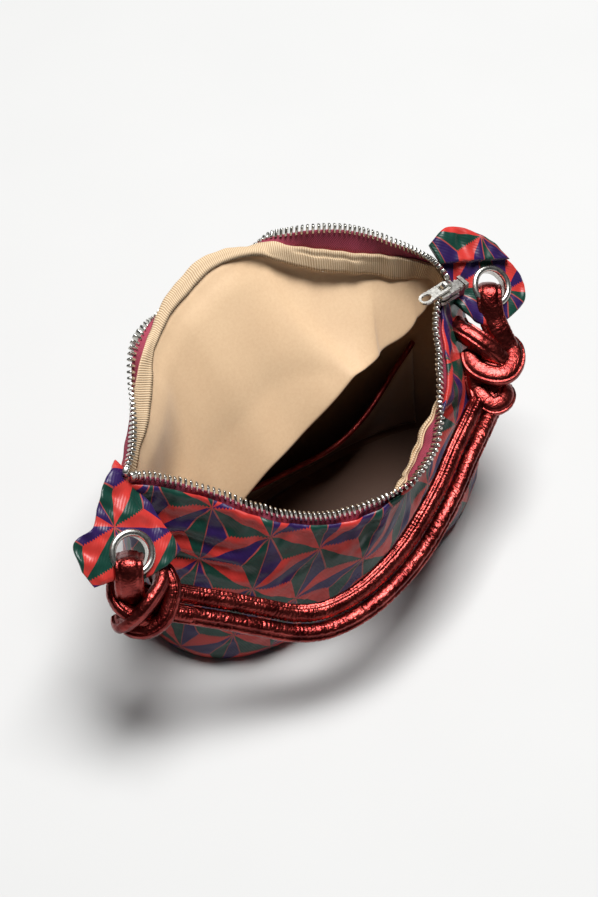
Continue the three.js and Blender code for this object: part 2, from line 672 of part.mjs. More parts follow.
function sliderBridge() {
  const shape = new THREE.Shape();
  const inner = BRIDGE_HALF_LENGTH - BRIDGE_WIRE;
  shape.moveTo(-BRIDGE_HALF_LENGTH, 0);
  const rise = BRIDGE_RISE * HANDLE_RISE;
  shape.bezierCurveTo(-BRIDGE_HALF_LENGTH, rise, BRIDGE_HALF_LENGTH, rise, BRIDGE_HALF_LENGTH, 0);
  shape.lineTo(inner, 0);
  const innerRise = (BRIDGE_RISE - BRIDGE_WIRE) * HANDLE_RISE;
  shape.bezierCurveTo(inner, innerRise, -inner, innerRise, -inner, 0);
  const arch = new THREE.ExtrudeGeometry(shape, {
    depth: BRIDGE_WIDTH,
    bevelEnabled: false,
    curveSegments: 8,
  });
  arch.rotateX(Math.PI / 2).translate(0, BRIDGE_WIDTH / 2, sliderHeight / 2 - SLIDER_PLATE / 2);
  return arch;
}

const sliderBlock = new THREE.ExtrudeGeometry(sliderOutline(), {
  depth: sliderHeight,
  bevelEnabled: false,
  curveSegments: 5,
}).translate(0, 0, -sliderHeight / 2);
const sliderBody = cut(
  sliderBlock,
  sliderCut(CLOSED_CHAIN_WIDTH + 2 * SLIDER_CLEARANCE, channelHeight),
  sliderCut(2 * SLIDER_MOUTH_WIDTH, SLIDER_TAPE_SLOT),
);
const slider = new THREE.Group();
slider.position.set(SLIDER_X, 0, ZIP_END_HEIGHT);
bag.add(slider);
addPiece('zip_slider', join(sliderBody, sliderBridge()), NICKEL, slider);

// Pull: a flat teardrop whose bar turns under the bridge
const pullHinge = sliderHeight / 2 + (BRIDGE_RISE - BRIDGE_WIRE) / 2;

function pullShape() {
  const [near, wide] = [BRIDGE_WIDTH / 2 + SLIDER_CLEARANCE, PULL_WIDTH / 2];
  const shape = new THREE.Shape();
  const neck = near + PULL_BAR;
  const eye = BRIDGE_HALF_LENGTH + 2 * SLIDER_CLEARANCE;
  shape.moveTo(PULL_BAR / 2, -neck);
  shape.lineTo(PULL_BAR / 2, neck);
  shape.lineTo(-eye, neck);
  shape.quadraticCurveTo(-PULL_NECK, neck, -PULL_SHOULDER, wide);
  shape.bezierCurveTo(-PULL_LENGTH, wide, -PULL_LENGTH, -wide, -PULL_SHOULDER, -wide);
  shape.quadraticCurveTo(-PULL_NECK, -neck, -eye, -neck);
  const slot = new THREE.Path();
  slot.moveTo(-PULL_BAR / 2, near);
  slot.lineTo(-PULL_BAR / 2, -near);
  slot.lineTo(-eye, -near);
  slot.lineTo(-eye, near);
  const window = new THREE.Path();
  window.absellipse(-PULL_SHOULDER, 0, PULL_WINDOW / 2, wide - PULL_BAR, 0, 2 * Math.PI);
  shape.holes.push(slot, window);
  return shape;
}

const pullPlate = new THREE.ExtrudeGeometry(pullShape(), {
  depth: PULL_THICKNESS,
  bevelEnabled: false,
  curveSegments: 6,
}).translate(0, 0, -PULL_THICKNESS / 2);
const pull = new THREE.Group();
pull.position.set(0, 0, pullHinge);
pull.rotation.y = -radians(PULL_DROOP);
slider.add(pull);
addPiece('zip_pull', pullPlate, NICKEL, pull);

// Wings: cloth tabs from a neck on the side seam to a flap with an eyelet
const wingDirections = (angle) => ({
  down: new THREE.Vector3(0, -Math.cos(radians(angle)), -Math.sin(radians(angle))),
  face: new THREE.Vector3(0, -Math.sin(radians(angle)), Math.cos(radians(angle))),
});

function wingShell(eyelet, angle, outwards, [riseInside, riseOver, riseOutside]) {
  const { down, face } = wingDirections(angle);
  const wall = walls[0].wall;
  const seam = wall.profile(outwards < 0 ? 0 : 1);
  const neck = (height) => {
    const s = steps(200).find((t) => seam.getPointAt(t).z >= height);
    const reach = GAP + WING_THICKNESS / 2;
    return seam.getPointAt(s).add(new THREE.Vector3(outwards * reach, 0, 0));
  };
  const flap = (out, rise) =>
    eyelet.clone().add(new THREE.Vector3(outwards * out, 0, 0)).addScaledVector(down, rise);
  const inner = EYELET_OUTER / 2 + WING_MARGIN;
  const top = new THREE.CatmullRomCurve3([
    neck(WING_NECK_TOP),
    flap(-inner - WING_WAIST, WING_WAIST_TOP),
    flap(-inner, -riseInside),
    flap(0, -riseOver),
    flap(inner, -riseOutside),
    flap(WING_REACH, -WING_CORNER_RISE),
  ]);
  const low = new THREE.CatmullRomCurve3([
    neck(WING_NECK_BOTTOM),
    flap(-inner - WING_WAIST, WING_WAIST_LOW),
    flap(-inner, WING_DROP),
    flap(0, WING_DROP),
    flap(inner, WING_DROP - WING_ROUNDING / 2),
    flap(WING_REACH, WING_CORNER_DROP),
  ]);
  const columns = steps(WING_COLUMNS).map((t) => {
    const [a, b] = [top.getPoint(t), low.getPoint(t)];
    return steps(WING_ROWS).map((j) => a.clone().lerp(b, j));
  });
  const twist = (i) => Math.min(1, (WING_TURN * i) / WING_COLUMNS);
  const side = (i) => X_AXIS.clone().multiplyScalar(-outwards).lerp(face, twist(i)).normalize();
  const shifted = (amount) =>
    columns.map((column, i) => column.map((point) => point.clone().addScaledVector(side(i), amount)));
  return shell(shifted(WING_THICKNESS / 2), shifted(-WING_THICKNESS / 2));
}

// A ring turned about the eyelet's axis from a closed profile of [radius, height] pairs
function ringOn(eyelet, angle, profile) {
  const points = [...profile, profile[0]].map(([radius, height]) => new THREE.Vector2(radius, height));
  const ring = new THREE.LatheGeometry(points, RING_SIDES);
  const { face } = wingDirections(angle);
  const turn = new THREE.Quaternion().setFromUnitVectors(new THREE.Vector3(0, 1, 0), face);
  return ring.applyQuaternion(turn).translate(eyelet.x, eyelet.y, eyelet.z);
}

const eyeletInner = EYELET_HOLE / 2;
const eyeletBarrel = eyeletInner + EYELET_WALL;
const wingHole = eyeletBarrel + GAP;
const flangeFoot = WING_THICKNESS / 2 + GAP;
const washerFoot = -WING_THICKNESS / 2 - GAP;
const EYELET_PROFILE = [
  [eyeletInner, washerFoot - WASHER_THICKNESS - GAP],
  [eyeletBarrel, washerFoot - WASHER_THICKNESS - GAP],
  [eyeletBarrel, flangeFoot],
  [EYELET_OUTER / 2, flangeFoot],
  [EYELET_OUTER / 2 - EYELET_FLANGE / 2, flangeFoot + EYELET_FLANGE * CROWN_SHOULDER],
  [(EYELET_OUTER / 2 + eyeletInner) / 2, flangeFoot + EYELET_FLANGE],
  [eyeletInner, flangeFoot + EYELET_FLANGE * CROWN_LIP],
];
const WASHER_PROFILE = [
  [eyeletBarrel + GAP, washerFoot - WASHER_THICKNESS],
  [EYELET_OUTER / 2, washerFoot - WASHER_THICKNESS * CROWN_SHOULDER],
  [EYELET_OUTER / 2, washerFoot],
  [eyeletBarrel + GAP, washerFoot],
];
const HOLE_PROFILE = [
  [0, -WING_THICKNESS],
  [wingHole, -WING_THICKNESS],
  [wingHole, WING_THICKNESS],
  [0, WING_THICKNESS],
];

// Strap: at each eyelet a flattened loop, a core and a wrap that together make the knot
function bandSection() {
  const section = new THREE.Shape();
  section.absellipse(0, 0, LOOP_WIDTH / 2, LOOP_THICKNESS / 2, 0, 2 * Math.PI);
  return new THREE.Shape(section.getPoints(LOOP_QUARTERS).slice(0, -1));
}

function eyeletLoop(eyelet, angle, knot) {
  const { down, face } = wingDirections(angle);
  const place = (drop, front) => eyelet.clone().addScaledVector(down, drop).addScaledVector(face, front);
  const over = flangeFoot + EYELET_FLANGE + LOOP_THICKNESS / 2 + LOOP_SLACK;
  const seat = Math.sqrt((eyeletInner - GAP) ** 2 - (LOOP_WIDTH / 2) ** 2) - LOOP_SLACK / 2;
  return tube([
    knot.clone(),
    place(WING_DROP + LOOP_BEND, over - LOOP_SLACK),
    place(WING_DROP - LOOP_BEND, over + LOOP_SLACK),
    place(LOOP_BEND, over),
    place(seat, 0),
    place(0, -over),
    place(LOOP_BEND, -2 * over),
    place(WING_DROP, -LOOP_BACK),
    knot.clone().addScaledVector(face, -LOOP_SLACK),
  ], bandSection(), LOOP_STEPS);
}

// The wrap winds round the line from the loop's foot to where the strands leave
function knotWrap(from, to, turns) {
  const axis = to.clone().sub(from);
  const across = axis.clone().cross(STRAP_FACE).normalize();
  const front = across.clone().cross(axis).normalize();
  const count = Math.round(KNOT_STEPS_PER_TURN * turns);
  const reach = 1 - KNOT_TUBE / axis.length();
  const points = steps(count).map((t) => {
    const turn = 2 * Math.PI * turns * t;
    return from.clone().addScaledVector(axis, reach * t)
      .addScaledVector(across, KNOT_WRAP_RADIUS * Math.cos(turn))
      .addScaledVector(front, KNOT_WRAP_RADIUS * Math.sin(turn));
  });
  return tube(points, circle(KNOT_TUBE, KNOT_SIDES), count);
}

const strapCurve = new THREE.CatmullRomCurve3(STRAP_ROUTE, false, 'centripetal');
const strandSpacing = (STRAND_DIAMETER + GAP) / 2;

function strandLine(side) {
  return STRAP_ROUTE.map((point, i) => {
    const along = strapCurve.getTangent(i / (STRAP_ROUTE.length - 1));
    const across = along.cross(STRAP_FACE).normalize();
    return point.clone().addScaledVector(across, side * strandSpacing);
  });
}

for (const [name, side] of [['inner', -1], ['outer', 1]]) {
  const strand = tube(strandLine(side), circle(STRAND_DIAMETER, STRAND_SIDES), STRAND_STEPS);
  addPiece(`strap_${name}_strand`, strand, LEATHER);
}

const ends = [
  {
    name: 'left',
    outwards: -1,
    eyelet: LEFT_EYELET,
    angle: LEFT_WING_ANGLE,
    rises: LEFT_WING_RISE,
    knot: LEFT_EYELET.clone().add(LEFT_KNOT_HANG),
    turns: LEFT_KNOT_TURNS,
    route: 0,
  },
  {
    name: 'right',
    outwards: 1,
    eyelet: RIGHT_EYELET,
    angle: RIGHT_WING_ANGLE,
    rises: RIGHT_WING_RISE,
    knot: RIGHT_EYELET.clone().add(RIGHT_KNOT_HANG),
    turns: RIGHT_KNOT_TURNS,
    route: 1,
  },
];

for (const { name, outwards, eyelet, angle, rises, knot, turns, route } of ends) {
  const hole = ringOn(eyelet, angle, HOLE_PROFILE);
  addPiece(`${name}_wing`, cut(wingShell(eyelet, angle, outwards, rises), hole), JACQUARD);
  addPiece(`${name}_eyelet`, ringOn(eyelet, angle, EYELET_PROFILE), NICKEL);
  addPiece(`${name}_eyelet_washer`, ringOn(eyelet, angle, WASHER_PROFILE), NICKEL);
  const tangent = strapCurve.getTangent(route).multiplyScalar(outwards);
  const exit = strapCurve.getPoint(route).addScaledVector(tangent, GAP);
  const across = tangent.clone().cross(STRAP_FACE).normalize();
  const mouth = exit.clone().addScaledVector(tangent, KNOT_MOUTH);
  const core = tube([knot, mouth, exit], circle(KNOT_TUBE, KNOT_SIDES), KNOT_CORE_STEPS);
  const collarEnd = (end) => mouth.clone().addScaledVector(across, (end * strandSpacing) / 2);
  const collar = tube([collarEnd(-1), collarEnd(1)], circle(KNOT_TUBE, KNOT_SIDES), 1);
  const wrap = knotWrap(knot, exit, turns);
  addPiece(`${name}_knot`, join(eyeletLoop(eyelet, angle, knot), core, collar, wrap), LEATHER);
}

export default bag;
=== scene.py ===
# %% [markdown]
# # A knotted shoulder bag in star jacquard
# The bag stands open on a table. Its front slouches forward, its back leans away, and a strap of two
# rolled leather strands is knotted into an eyelet at each end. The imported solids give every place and
# size. This script dresses them: woven cloth, satin, a metal zip and crinkled metallic leather.

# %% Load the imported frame
import json
import math
import bpy
import numpy as np
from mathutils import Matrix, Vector


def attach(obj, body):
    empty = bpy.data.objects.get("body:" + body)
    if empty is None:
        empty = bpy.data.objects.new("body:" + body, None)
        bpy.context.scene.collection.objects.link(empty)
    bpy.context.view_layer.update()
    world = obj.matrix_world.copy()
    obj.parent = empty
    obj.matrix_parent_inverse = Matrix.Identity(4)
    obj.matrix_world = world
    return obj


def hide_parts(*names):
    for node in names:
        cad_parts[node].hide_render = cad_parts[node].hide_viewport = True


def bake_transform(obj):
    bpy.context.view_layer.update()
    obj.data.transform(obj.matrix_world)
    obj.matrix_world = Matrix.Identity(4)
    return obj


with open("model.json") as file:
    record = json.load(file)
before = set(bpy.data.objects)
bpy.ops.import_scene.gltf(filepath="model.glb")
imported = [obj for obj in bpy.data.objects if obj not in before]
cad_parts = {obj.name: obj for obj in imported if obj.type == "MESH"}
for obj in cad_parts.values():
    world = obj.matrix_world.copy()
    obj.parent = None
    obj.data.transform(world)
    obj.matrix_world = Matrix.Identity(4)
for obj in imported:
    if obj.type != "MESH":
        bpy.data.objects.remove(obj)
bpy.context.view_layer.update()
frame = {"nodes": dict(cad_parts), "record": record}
MM = 0.001

# %% [markdown]
# ## Camera
# The photograph looks down into the bag from the front left. A camera on a sphere round the bag is the
# easiest to match: two angles, a distance and a point to look at. The same three directions of the view
# serve again later, because the rims and the knots are easiest to draw as they are seen.

# %% Camera at the photograph's angle
AZIMUTH = math.radians(-38.34)
ELEVATION = math.radians(50)
CAMERA_DISTANCE = 900 * MM
LOOK_AT = Vector((1.1, 4.1, 60)) * MM
SENSOR = 36
FOCAL_LENGTH = 72.24
view_right = np.array([math.cos(AZIMUTH), math.sin(AZIMUTH), 0])
view_back = np.array([
    math.sin(AZIMUTH) * math.cos(ELEVATION),
    -math.cos(AZIMUTH) * math.cos(ELEVATION),
    math.sin(ELEVATION),
])
view_up = np.cross(view_back, view_right)
camera = bpy.data.objects.new("camera", bpy.data.cameras.new("camera"))
bpy.context.scene.collection.objects.link(camera)
camera.data.sensor_width = SENSOR
camera.data.lens = FOCAL_LENGTH
camera.location = LOOK_AT + Vector(view_back) * CAMERA_DISTANCE
camera.rotation_euler = Vector(view_back).to_track_quat("Z", "Y").to_euler()
bpy.context.scene.camera = camera
print("camera stands at", [round(v / MM) for v in camera.location])

# %% [markdown]
# ## Curves and tubes
# Everything rolled or rounded here is a ring of points carried along a line. A curve with a bevel would be
# quicker, but its ring can't have a seam or wrinkles of its own. A centripetal spline goes through the chosen
# points without loops, and is then walked in even steps.

# %% Lines
SPLINE_STEPS = 24


def spline(points):
    """Centripetal spline through the points."""
    points = np.asarray(points, float)
    ends = [2 * points[0] - points[1], *points, 2 * points[-1] - points[-2]]
    t = np.linspace(0, 1, SPLINE_STEPS, endpoint=False)[:, None]
    run = []
    for p0, p1, p2, p3 in zip(ends, ends[1:], ends[2:], ends[3:]):
        d0, d1, d2 = (math.sqrt(np.linalg.norm(b - a)) for a, b in ((p0, p1), (p1, p2), (p2, p3)))
        m1 = ((p1 - p0) / d0 - (p2 - p0) / (d0 + d1) + (p2 - p1) / d1) * d1
        m2 = ((p2 - p1) / d1 - (p3 - p1) / (d1 + d2) + (p3 - p2) / d2) * d1
        a, b = 2 * (p1 - p2) + m1 + m2, 3 * (p2 - p1) - 2 * m1 - m2
        run.append(a * t**3 + b * t**2 + m1 * t + p1)
    return np.vstack([*run, points[-1:]])


def lengths(line):
    """Distance along a line at each of its points."""
    return np.concatenate([[0], np.cumsum(np.linalg.norm(np.diff(line, axis=0), axis=1))])


def even(line, count):
    """The line again as count points at even steps."""
    run = lengths(line)
    at = np.linspace(0, run[-1], count)
    return np.stack([np.interp(at, run, line[:, k]) for k in range(3)], axis=1)


def unit(vectors):
    """The same directions, of length 1."""
    return vectors / np.maximum(np.linalg.norm(vectors, axis=-1, keepdims=True), 1e-12)


print("a spline through 3 points has", len(spline([(0, 0, 0), (1, 0, 0), (2, 1, 0)])), "samples")

# %% Angles, humps and ripples
RIPPLES, RIPPLE_SIZES = 7, (0.7, 1.5)


def angles(sides):
    """Even steps once round."""
    return np.linspace(0, 2 * np.pi, sides, endpoint=False)


def hump(value, middle, width):
    """A soft hump, 1 high at its middle."""
    return np.exp(-(((value - middle) / width) ** 2))


def waves(x, y, wavelength, seed):
    """Smooth uneven ripples of about that wavelength, between about -1 and 1, the same on each run."""
    draw = np.random.default_rng(seed)
    total = 0
    for _ in range(RIPPLES):
        angle, phase = draw.uniform(0, 2 * np.pi, 2)
        size = wavelength * draw.uniform(*RIPPLE_SIZES)
        total = total + np.sin(2 * np.pi * (x * np.cos(angle) + y * np.sin(angle)) / size + phase)
    return total / math.sqrt(RIPPLES)


print("four angles in degrees:", np.degrees(angles(4)).round().tolist())

# %% Meshes
def add_mesh(name, points, faces, material, uv=None):
    """A smooth mesh object from points in mm, with a pair of lengths on the cloth for each point."""
    mesh = bpy.data.meshes.new(name)
    mesh.from_pydata((np.asarray(points) * MM).tolist(), [], faces)
    mesh.polygons.foreach_set("use_smooth", [True] * len(mesh.polygons))
    if uv is not None:
        layer = mesh.uv_layers.new(name="cloth")
        corners = np.zeros(len(mesh.loops), int)
        mesh.loops.foreach_get("vertex_index", corners)
        layer.data.foreach_set("uv", (np.asarray(uv)[corners] * MM).ravel())
    mesh.update()
    mesh.materials.append(material)
    made = bpy.data.objects.new(name, mesh)
    bpy.context.scene.collection.objects.link(made)
    return made


def tube_faces(rings, sides, start=0):
    """Quads round a tube, with a flat face at each end."""
    faces = []
    for i in range(rings - 1):
        for j in range(sides):
            k = (j + 1) % sides
            a, b = start + i * sides, start + (i + 1) * sides
            faces.append((a + j, a + k, b + k, b + j))
    faces.append(tuple(start + j for j in reversed(range(sides))))
    faces.append(tuple(start + (rings - 1) * sides + j for j in range(sides)))
    return faces


def carried(line, front):
    """Across and front directions along a line that keeps facing one way."""
    tangent = unit(np.gradient(line, axis=0))
    across = unit(np.cross(tangent, np.broadcast_to(front, tangent.shape)))
    return across, np.cross(across, tangent)


def rings_on(line, across, front, sections):
    """Points of a tube: section rows of [sideways, forwards] lengths at each point of the line."""
    return line[:, None] + across[:, None] * sections[..., :1] + front[:, None] * sections[..., 1:]


print("a tube of 2 rings with 4 sides has", len(tube_faces(2, 4)), "faces")

# %% [markdown]
# ## Colours and shader nodes
# A hex colour is what a screen shows, so it is turned to linear light before a shader gets it. One small
# function adds a node, sets it and links its sockets, so that a material reads in order from its pattern to
# its shader.

# %% Colour and node helpers
def linear(code):
    """Linear colour with alpha 1 from an sRGB hex code."""
    shown = [int(code[i:i + 2], 16) / 255 for i in (1, 3, 5)]
    return tuple(v / 12.92 if v <= 0.04045 else ((v + 0.055) / 1.055) ** 2.4 for v in shown) + (1,)


def connect(node, inputs):
    """Give input sockets of a node their values or links. A node as a value stands for its first output."""
    for socket, value in inputs.items():
        if isinstance(value, bpy.types.Node):
            value = value.outputs[0]
        if isinstance(value, bpy.types.NodeSocket):
            node.id_data.links.new(value, node.inputs[socket])
        else:
            node.inputs[socket].default_value = value


def add(tree, kind, inputs, stops=(), **settings):
    """A new node with its settings, its colour stops and its inputs, by name or in their order."""
    made = tree.nodes.new("ShaderNode" + kind)
    for name, value in settings.items():
        setattr(made, name, value)
    for element, (position, code) in enumerate(stops):
        made.color_ramp.elements[element].position = position
        made.color_ramp.elements[element].color = linear(code)
    connect(made, inputs if isinstance(inputs, dict) else dict(enumerate(inputs)))
    return made


def new_material(name):
    """A material, its node tree and its shader."""
    made = bpy.data.materials.new(name)
    made.use_nodes = True
    return made, made.node_tree, made.node_tree.nodes["Principled BSDF"]


print("mid grey is", round(linear("#808080")[0], 3), "in linear light")

# %% [markdown]
# ## Metallic leather
# The strap is goat leather under a red metal foil, rolled and sewn into a tube. The foil reflects like a
# coloured metal, and cracks into fine crinkles wherever the leather bends. Gloss paint over a bump would stay
# pale at the edges, so this is a metal shader, with two sizes of crinkle in its bump.

# %% Foil leather
# Broken, glittering highlights on a red mirror, with dull cracks between them.
CRINKLE, CREASE, SHADE_SIZE = 2.2, 0.9, 9
leather, tree, shader = new_material("red_foil_leather")
place = add(tree, "TexCoord", []).outputs["Object"]
crinkle = add(tree, "TexVoronoi", {"Vector": place, "Scale": 1 / (CRINKLE * MM)}, feature="DISTANCE_TO_EDGE")
wander = add(tree, "TexNoise", {"Vector": place, "Scale": 1 / (CREASE * MM), "Detail": 4})
folds = add(tree, "TexNoise", {"Vector": place, "Scale": 1 / (SHADE_SIZE * MM), "Detail": 3})
ridge = add(tree, "MapRange", {"Value": crinkle, "From Max": 0.16})
height = add(tree, "Mix", {"Factor": 0.65, 2: ridge, 3: wander})
tint = add(tree, "ValToRGB", [folds], stops=[(0.3, "#5c1616"), (0.75, "#ab4640")])
rough = add(tree, "MapRange", {"Value": wander, "To Min": 0.22, "To Max": 0.4})
bump = add(tree, "Bump", {"Height": height, "Strength": 0.6, "Distance": 0.3 * MM})
connect(shader, {"Base Color": tint, "Roughness": rough, "Normal": bump, "Metallic": 1})
connect(shader, {"Coat Weight": 0.15, "Coat Roughness": 0.15})
print("foil crinkles every", CRINKLE, "mm")

# %% [markdown]
# ## Strap
# Two rolled strands run side by side from knot to knot and hang in front of the bag. The route is the one
# that the solids follow, point by point. Each strand has a sewn lip along one edge, which shows as a groove
# in its round section, and fine wrinkles round it. They are in the mesh, so they also show at the outline.

# %% Strap route
STRAP_FRONT = np.array([0, -0.6, 0.8])
STRAP_ROUTE = [
    (-102, -46, 71.5), (-86.5, -56, 63.5), (-74.5, -64, 57), (-62, -72, 50.5), (-50.5, -78, 48.5),
    (-37, -81, 48.5), (-23.5, -82, 50.5), (-7.5, -80, 52.5), (9, -76, 55.5), (24.5, -71, 61.5),
    (40.5, -64, 66), (55.5, -56, 71), (70, -48.5, 73), (80.5, -42.5, 72.5), (89, -37.5, 71),
]
print("the route has", len(STRAP_ROUTE), "points")

# %% Two strands
STRAND, STRAND_GAP = 9.0, 0.3
STRAND_STEPS, STRAND_SIDES = 560, 40
GROOVE_DEPTH, GROOVE_WIDTH, GROOVE_ANGLE = 1.5, 0.2, 0.75
WRINKLE = 0.22
# Each has a share, a slant, a wavelength and a seed.
WRINKLES = [(1, 0.3, 2.8, 11), (0.6, 0.4, 1.7, 21)]


def strand_section(turn, groove_at):
    """Radius of a rolled strand at each angle, with the groove of its seam."""
    gap = np.angle(np.exp(1j * (turn - groove_at)))
    return STRAND / 2 - GROOVE_DEPTH * hump(gap, 0, GROOVE_WIDTH)


def make_strand(name, side):
    """A strand and the line through its middle."""
    middle = np.array(STRAP_ROUTE)
    across, _ = carried(middle, STRAP_FRONT)
    line = even(spline(middle + side * across * (STRAND + STRAND_GAP) / 2), STRAND_STEPS)
    across, front = carried(line, STRAP_FRONT)
    turn = angles(STRAND_SIDES)
    along, around = lengths(line)[:, None], turn[None] * STRAND / 2
    crease = sum(
        share * waves(along, around * slant, size, seed + side) for share, slant, size, seed in WRINKLES
    )
    radius = strand_section(turn, np.pi / 2 - side * GROOVE_ANGLE)[None] - WRINKLE * np.abs(crease)
    sections = np.stack([radius * np.cos(turn), radius * np.sin(turn)], axis=-1)
    points = rings_on(line, across, front, sections).reshape(-1, 3)
    made = add_mesh(name, points, tube_faces(len(line), STRAND_SIDES), leather)
    print(name, "is", round(lengths(line)[-1], 1), "mm long")
    return made, line


inner_strand, inner_line = make_strand("inner_strand", -1)
outer_strand, outer_line = make_strand("outer_strand", 1)

# %% [markdown]
# ## Walls of the bag
# Front and back are each one piece of cloth that rises from the base's edge to the zip. A base outline, a
# bowed rim and a rounded profile between the two make a smooth sheet, from the same few numbers as the
# solids. A cloth simulation could slouch a sewn bag too, but would not fall into the shape that is seen. So
# the sheet is shaped in code, and each layer of cloth lies at its own depth under it.

# %% Steps and shares
def ramp(value, start, end):
    """0 before start, 1 after end and a smooth step between."""
    t = np.clip((value - start) / (end - start), 0, 1)
    return t * t * (3 - 2 * t)


def at_share(line, share):
    """Points of a line at shares of its length."""
    run = lengths(line)
    return np.stack([np.interp(share * run[-1], run, line[:, k]) for k in range(3)], axis=1)


print("a quarter of the way along, a ramp has risen by", round(float(ramp(0.25, 0, 1)), 3))

# %% Outlines of a wall
HALF_SPAN, END_HEIGHT = 97, 118
LEFT_REACH, REACH_START = 7, -60
BASE_HALF_LENGTH, BASE_SHIFT, BASE_FULLNESS = 112, -6, 2.8
LEFT_TUCK, TUCK_START = 14, -50
OUTLINE_STEPS = 2001


class Wall:
    """One side of the bag. Its left end reaches out at the rim and is tucked in at the base."""

    def __init__(self, side, bow, lean, power, depth, bulge, folds, pull):
        self.side, self.bulge, self.folds, self.pull = side, bulge, folds, pull
        t = np.linspace(0, 1, OUTLINE_STEPS)
        x = -HALF_SPAN * np.cos(np.pi * t)
        swing = bow * np.maximum(0, np.cos(np.pi * x / (2 * HALF_SPAN))) ** np.where(x < 0, *power)
        lean = math.radians(lean)
        x = x - LEFT_REACH * ramp(x, REACH_START, -HALF_SPAN)
        self.rim = np.stack([x, side * swing * np.cos(lean), END_HEIGHT + swing * np.sin(lean)], axis=1)
        self.rim_length = lengths(self.rim)[-1]
        c, s = -np.cos(np.pi * t), np.sin(np.pi * t)
        round_off = 2 / BASE_FULLNESS
        x = BASE_SHIFT + BASE_HALF_LENGTH * np.sign(c) * np.abs(c) ** round_off
        x = x + LEFT_TUCK * ramp(x, TUCK_START, BASE_SHIFT - BASE_HALF_LENGTH)
        self.base = np.stack([x, side * depth * np.abs(s) ** round_off, 0 * t], axis=1)


print("the ends of a rim are", 2 * HALF_SPAN + LEFT_REACH, "mm apart")

# %% Profiles up a wall
FOOT_INSET = 8
PROFILE_STEPS, SHARE_STEP = 81, 1e-3


def profiles(wall, u):
    """Fine lines up the wall at each share along it, and their lengths."""
    rim, edge = at_share(wall.rim, u), at_share(wall.base, u)
    after, before = np.minimum(1, u + SHARE_STEP), np.maximum(0, u - SHARE_STEP)
    along = at_share(wall.base, after) - at_share(wall.base, before)
    out = unit(np.stack([along[:, 1], -along[:, 0], 0 * u], axis=1)) * -wall.side
    bulge = wall.bulge * np.sqrt(np.maximum(0, np.sin(np.pi * u)))[:, None]
    foot, low, high = edge - FOOT_INSET * out, edge + out * bulge / 2, (edge + rim) / 2 + out * bulge
    t = np.linspace(0, 1, PROFILE_STEPS)[None, :, None]
    lines = (1 - t) ** 3 * foot[:, None] + 3 * t * (1 - t) ** 2 * low[:, None]
    lines = lines + 3 * t**2 * (1 - t) * high[:, None] + t**3 * rim[:, None]
    return lines, np.array([lengths(line)[-1] for line in lines])


def below(wall, u, distance):
    """Share up the wall of a distance below the rim."""
    _, tall = profiles(wall, u)
    return 1 - distance / tall


print("each profile has", PROFILE_STEPS, "points")

# %% Wall with its rim pulled
ALONG_STEP, UP_STEP = 2e-3, 5e-3


def smooth(wall, u, s):
    """Places on the wall for columns u and rows s of each column, before its folds."""
    lines, tall = profiles(wall, u)
    place = np.stack([at_share(line, row) for line, row in zip(lines, s)])
    return place + wall.pull(u, (1 - s) * tall[:, None])


def surface(wall, u, s):
    """The same places and the outward directions there."""
    along = smooth(wall, np.minimum(1, u + ALONG_STEP), s) - smooth(wall, np.maximum(0, u - ALONG_STEP), s)
    up = smooth(wall, u, np.minimum(1, s + UP_STEP)) - smooth(wall, u, np.maximum(0, s - UP_STEP))
    return smooth(wall, u, s), unit(np.cross(along, up)) * -wall.side


print("slopes are taken over shares of", ALONG_STEP, "and", UP_STEP)

# %% One layer of a wall
SEAM = 12
ROLL_STOP, ROLL_THIN = (0.70, 0.55), 0.65
THIN_START, THIN_UNDER = (0.02, 0.1), (26, 14)
RIDGE_PAST = 18


def sheet(wall, u, s, depth):
    """Points of a layer at that depth below the outer face, with the wall's folds."""
    tall = profiles(wall, u)[1][:, None]
    x, y = (u[:, None] - 0.5) * wall.rim_length, s * tall
    place, out = surface(wall, u, s)
    # At a side seam both walls face the same way, so that their layers meet.
    seam = ramp(np.minimum(u, 1 - u) * wall.rim_length, SEAM, 0)[:, None, None]
    out = unit(out * (1 - seam) + seam * np.sign(u - 0.5)[:, None, None] * np.array([1, 0, 0]))
    # The layers are pressed together where the back rim rolls over.
    turned = ramp(u, *THIN_START) * ramp(u, *ROLL_STOP) * (wall.side > 0)
    thin = 1 - ROLL_THIN * turned[:, None] * ramp(tall - y, *THIN_UNDER)
    place = place + out * ((wall.folds(x, y, tall - y) - depth) * thin)[..., None]
    # A loose lining goes a little past the middle of the bag, and no further.
    least = -RIDGE_PAST * np.sin(np.pi * u)[:, None] ** 4
    place[..., 1] = wall.side * np.maximum(wall.side * place[..., 1], least)
    return place


print("the walls turn into their seams over", SEAM, "mm")

# %% [markdown]
# ## Folds
# Thin cloth is never flat. It puckers where it is sewn to the zip, hangs in long soft waves, crumples a
# little and sags by its ends. Each of these is a ripple of its own size, and the walls stay flat at the foot,
# where they are sewn to the base.

# %% Folds of the cloth
SWELL, SWELL_X, SWELL_UNDER, SWELL_HEIGHT = 9, (75, 125), 38, 26
HEM_UNDER, FLAT_FOOT = 12, 20
# Height, wavelength, seed and spread of the ripples under a hem.
FRONT_HEM, BACK_HEM = (0.55, 9, 3, 60), (0.5, 11, 5, 80)
# Height, closeness along and up, wavelength and seed of the other ripples.
FRONT_DRAPE, BACK_DRAPE = (1.1, 1.4, 0.6, 46, 4), (1.2, 1.2, 0.5, 60, 6)
CRUMPLES = [(0.45, 0.8, 1.2, 15, 8), (0.2, 1, 1, 7, 9)]
SAG, SAG_STEEP, SAG_SLANT = 1.5, 0.55, 0.05
SAG_X, SAG_WIDTH, SAG_UNDER, SAG_HEIGHT = -92, 22, 34, 20


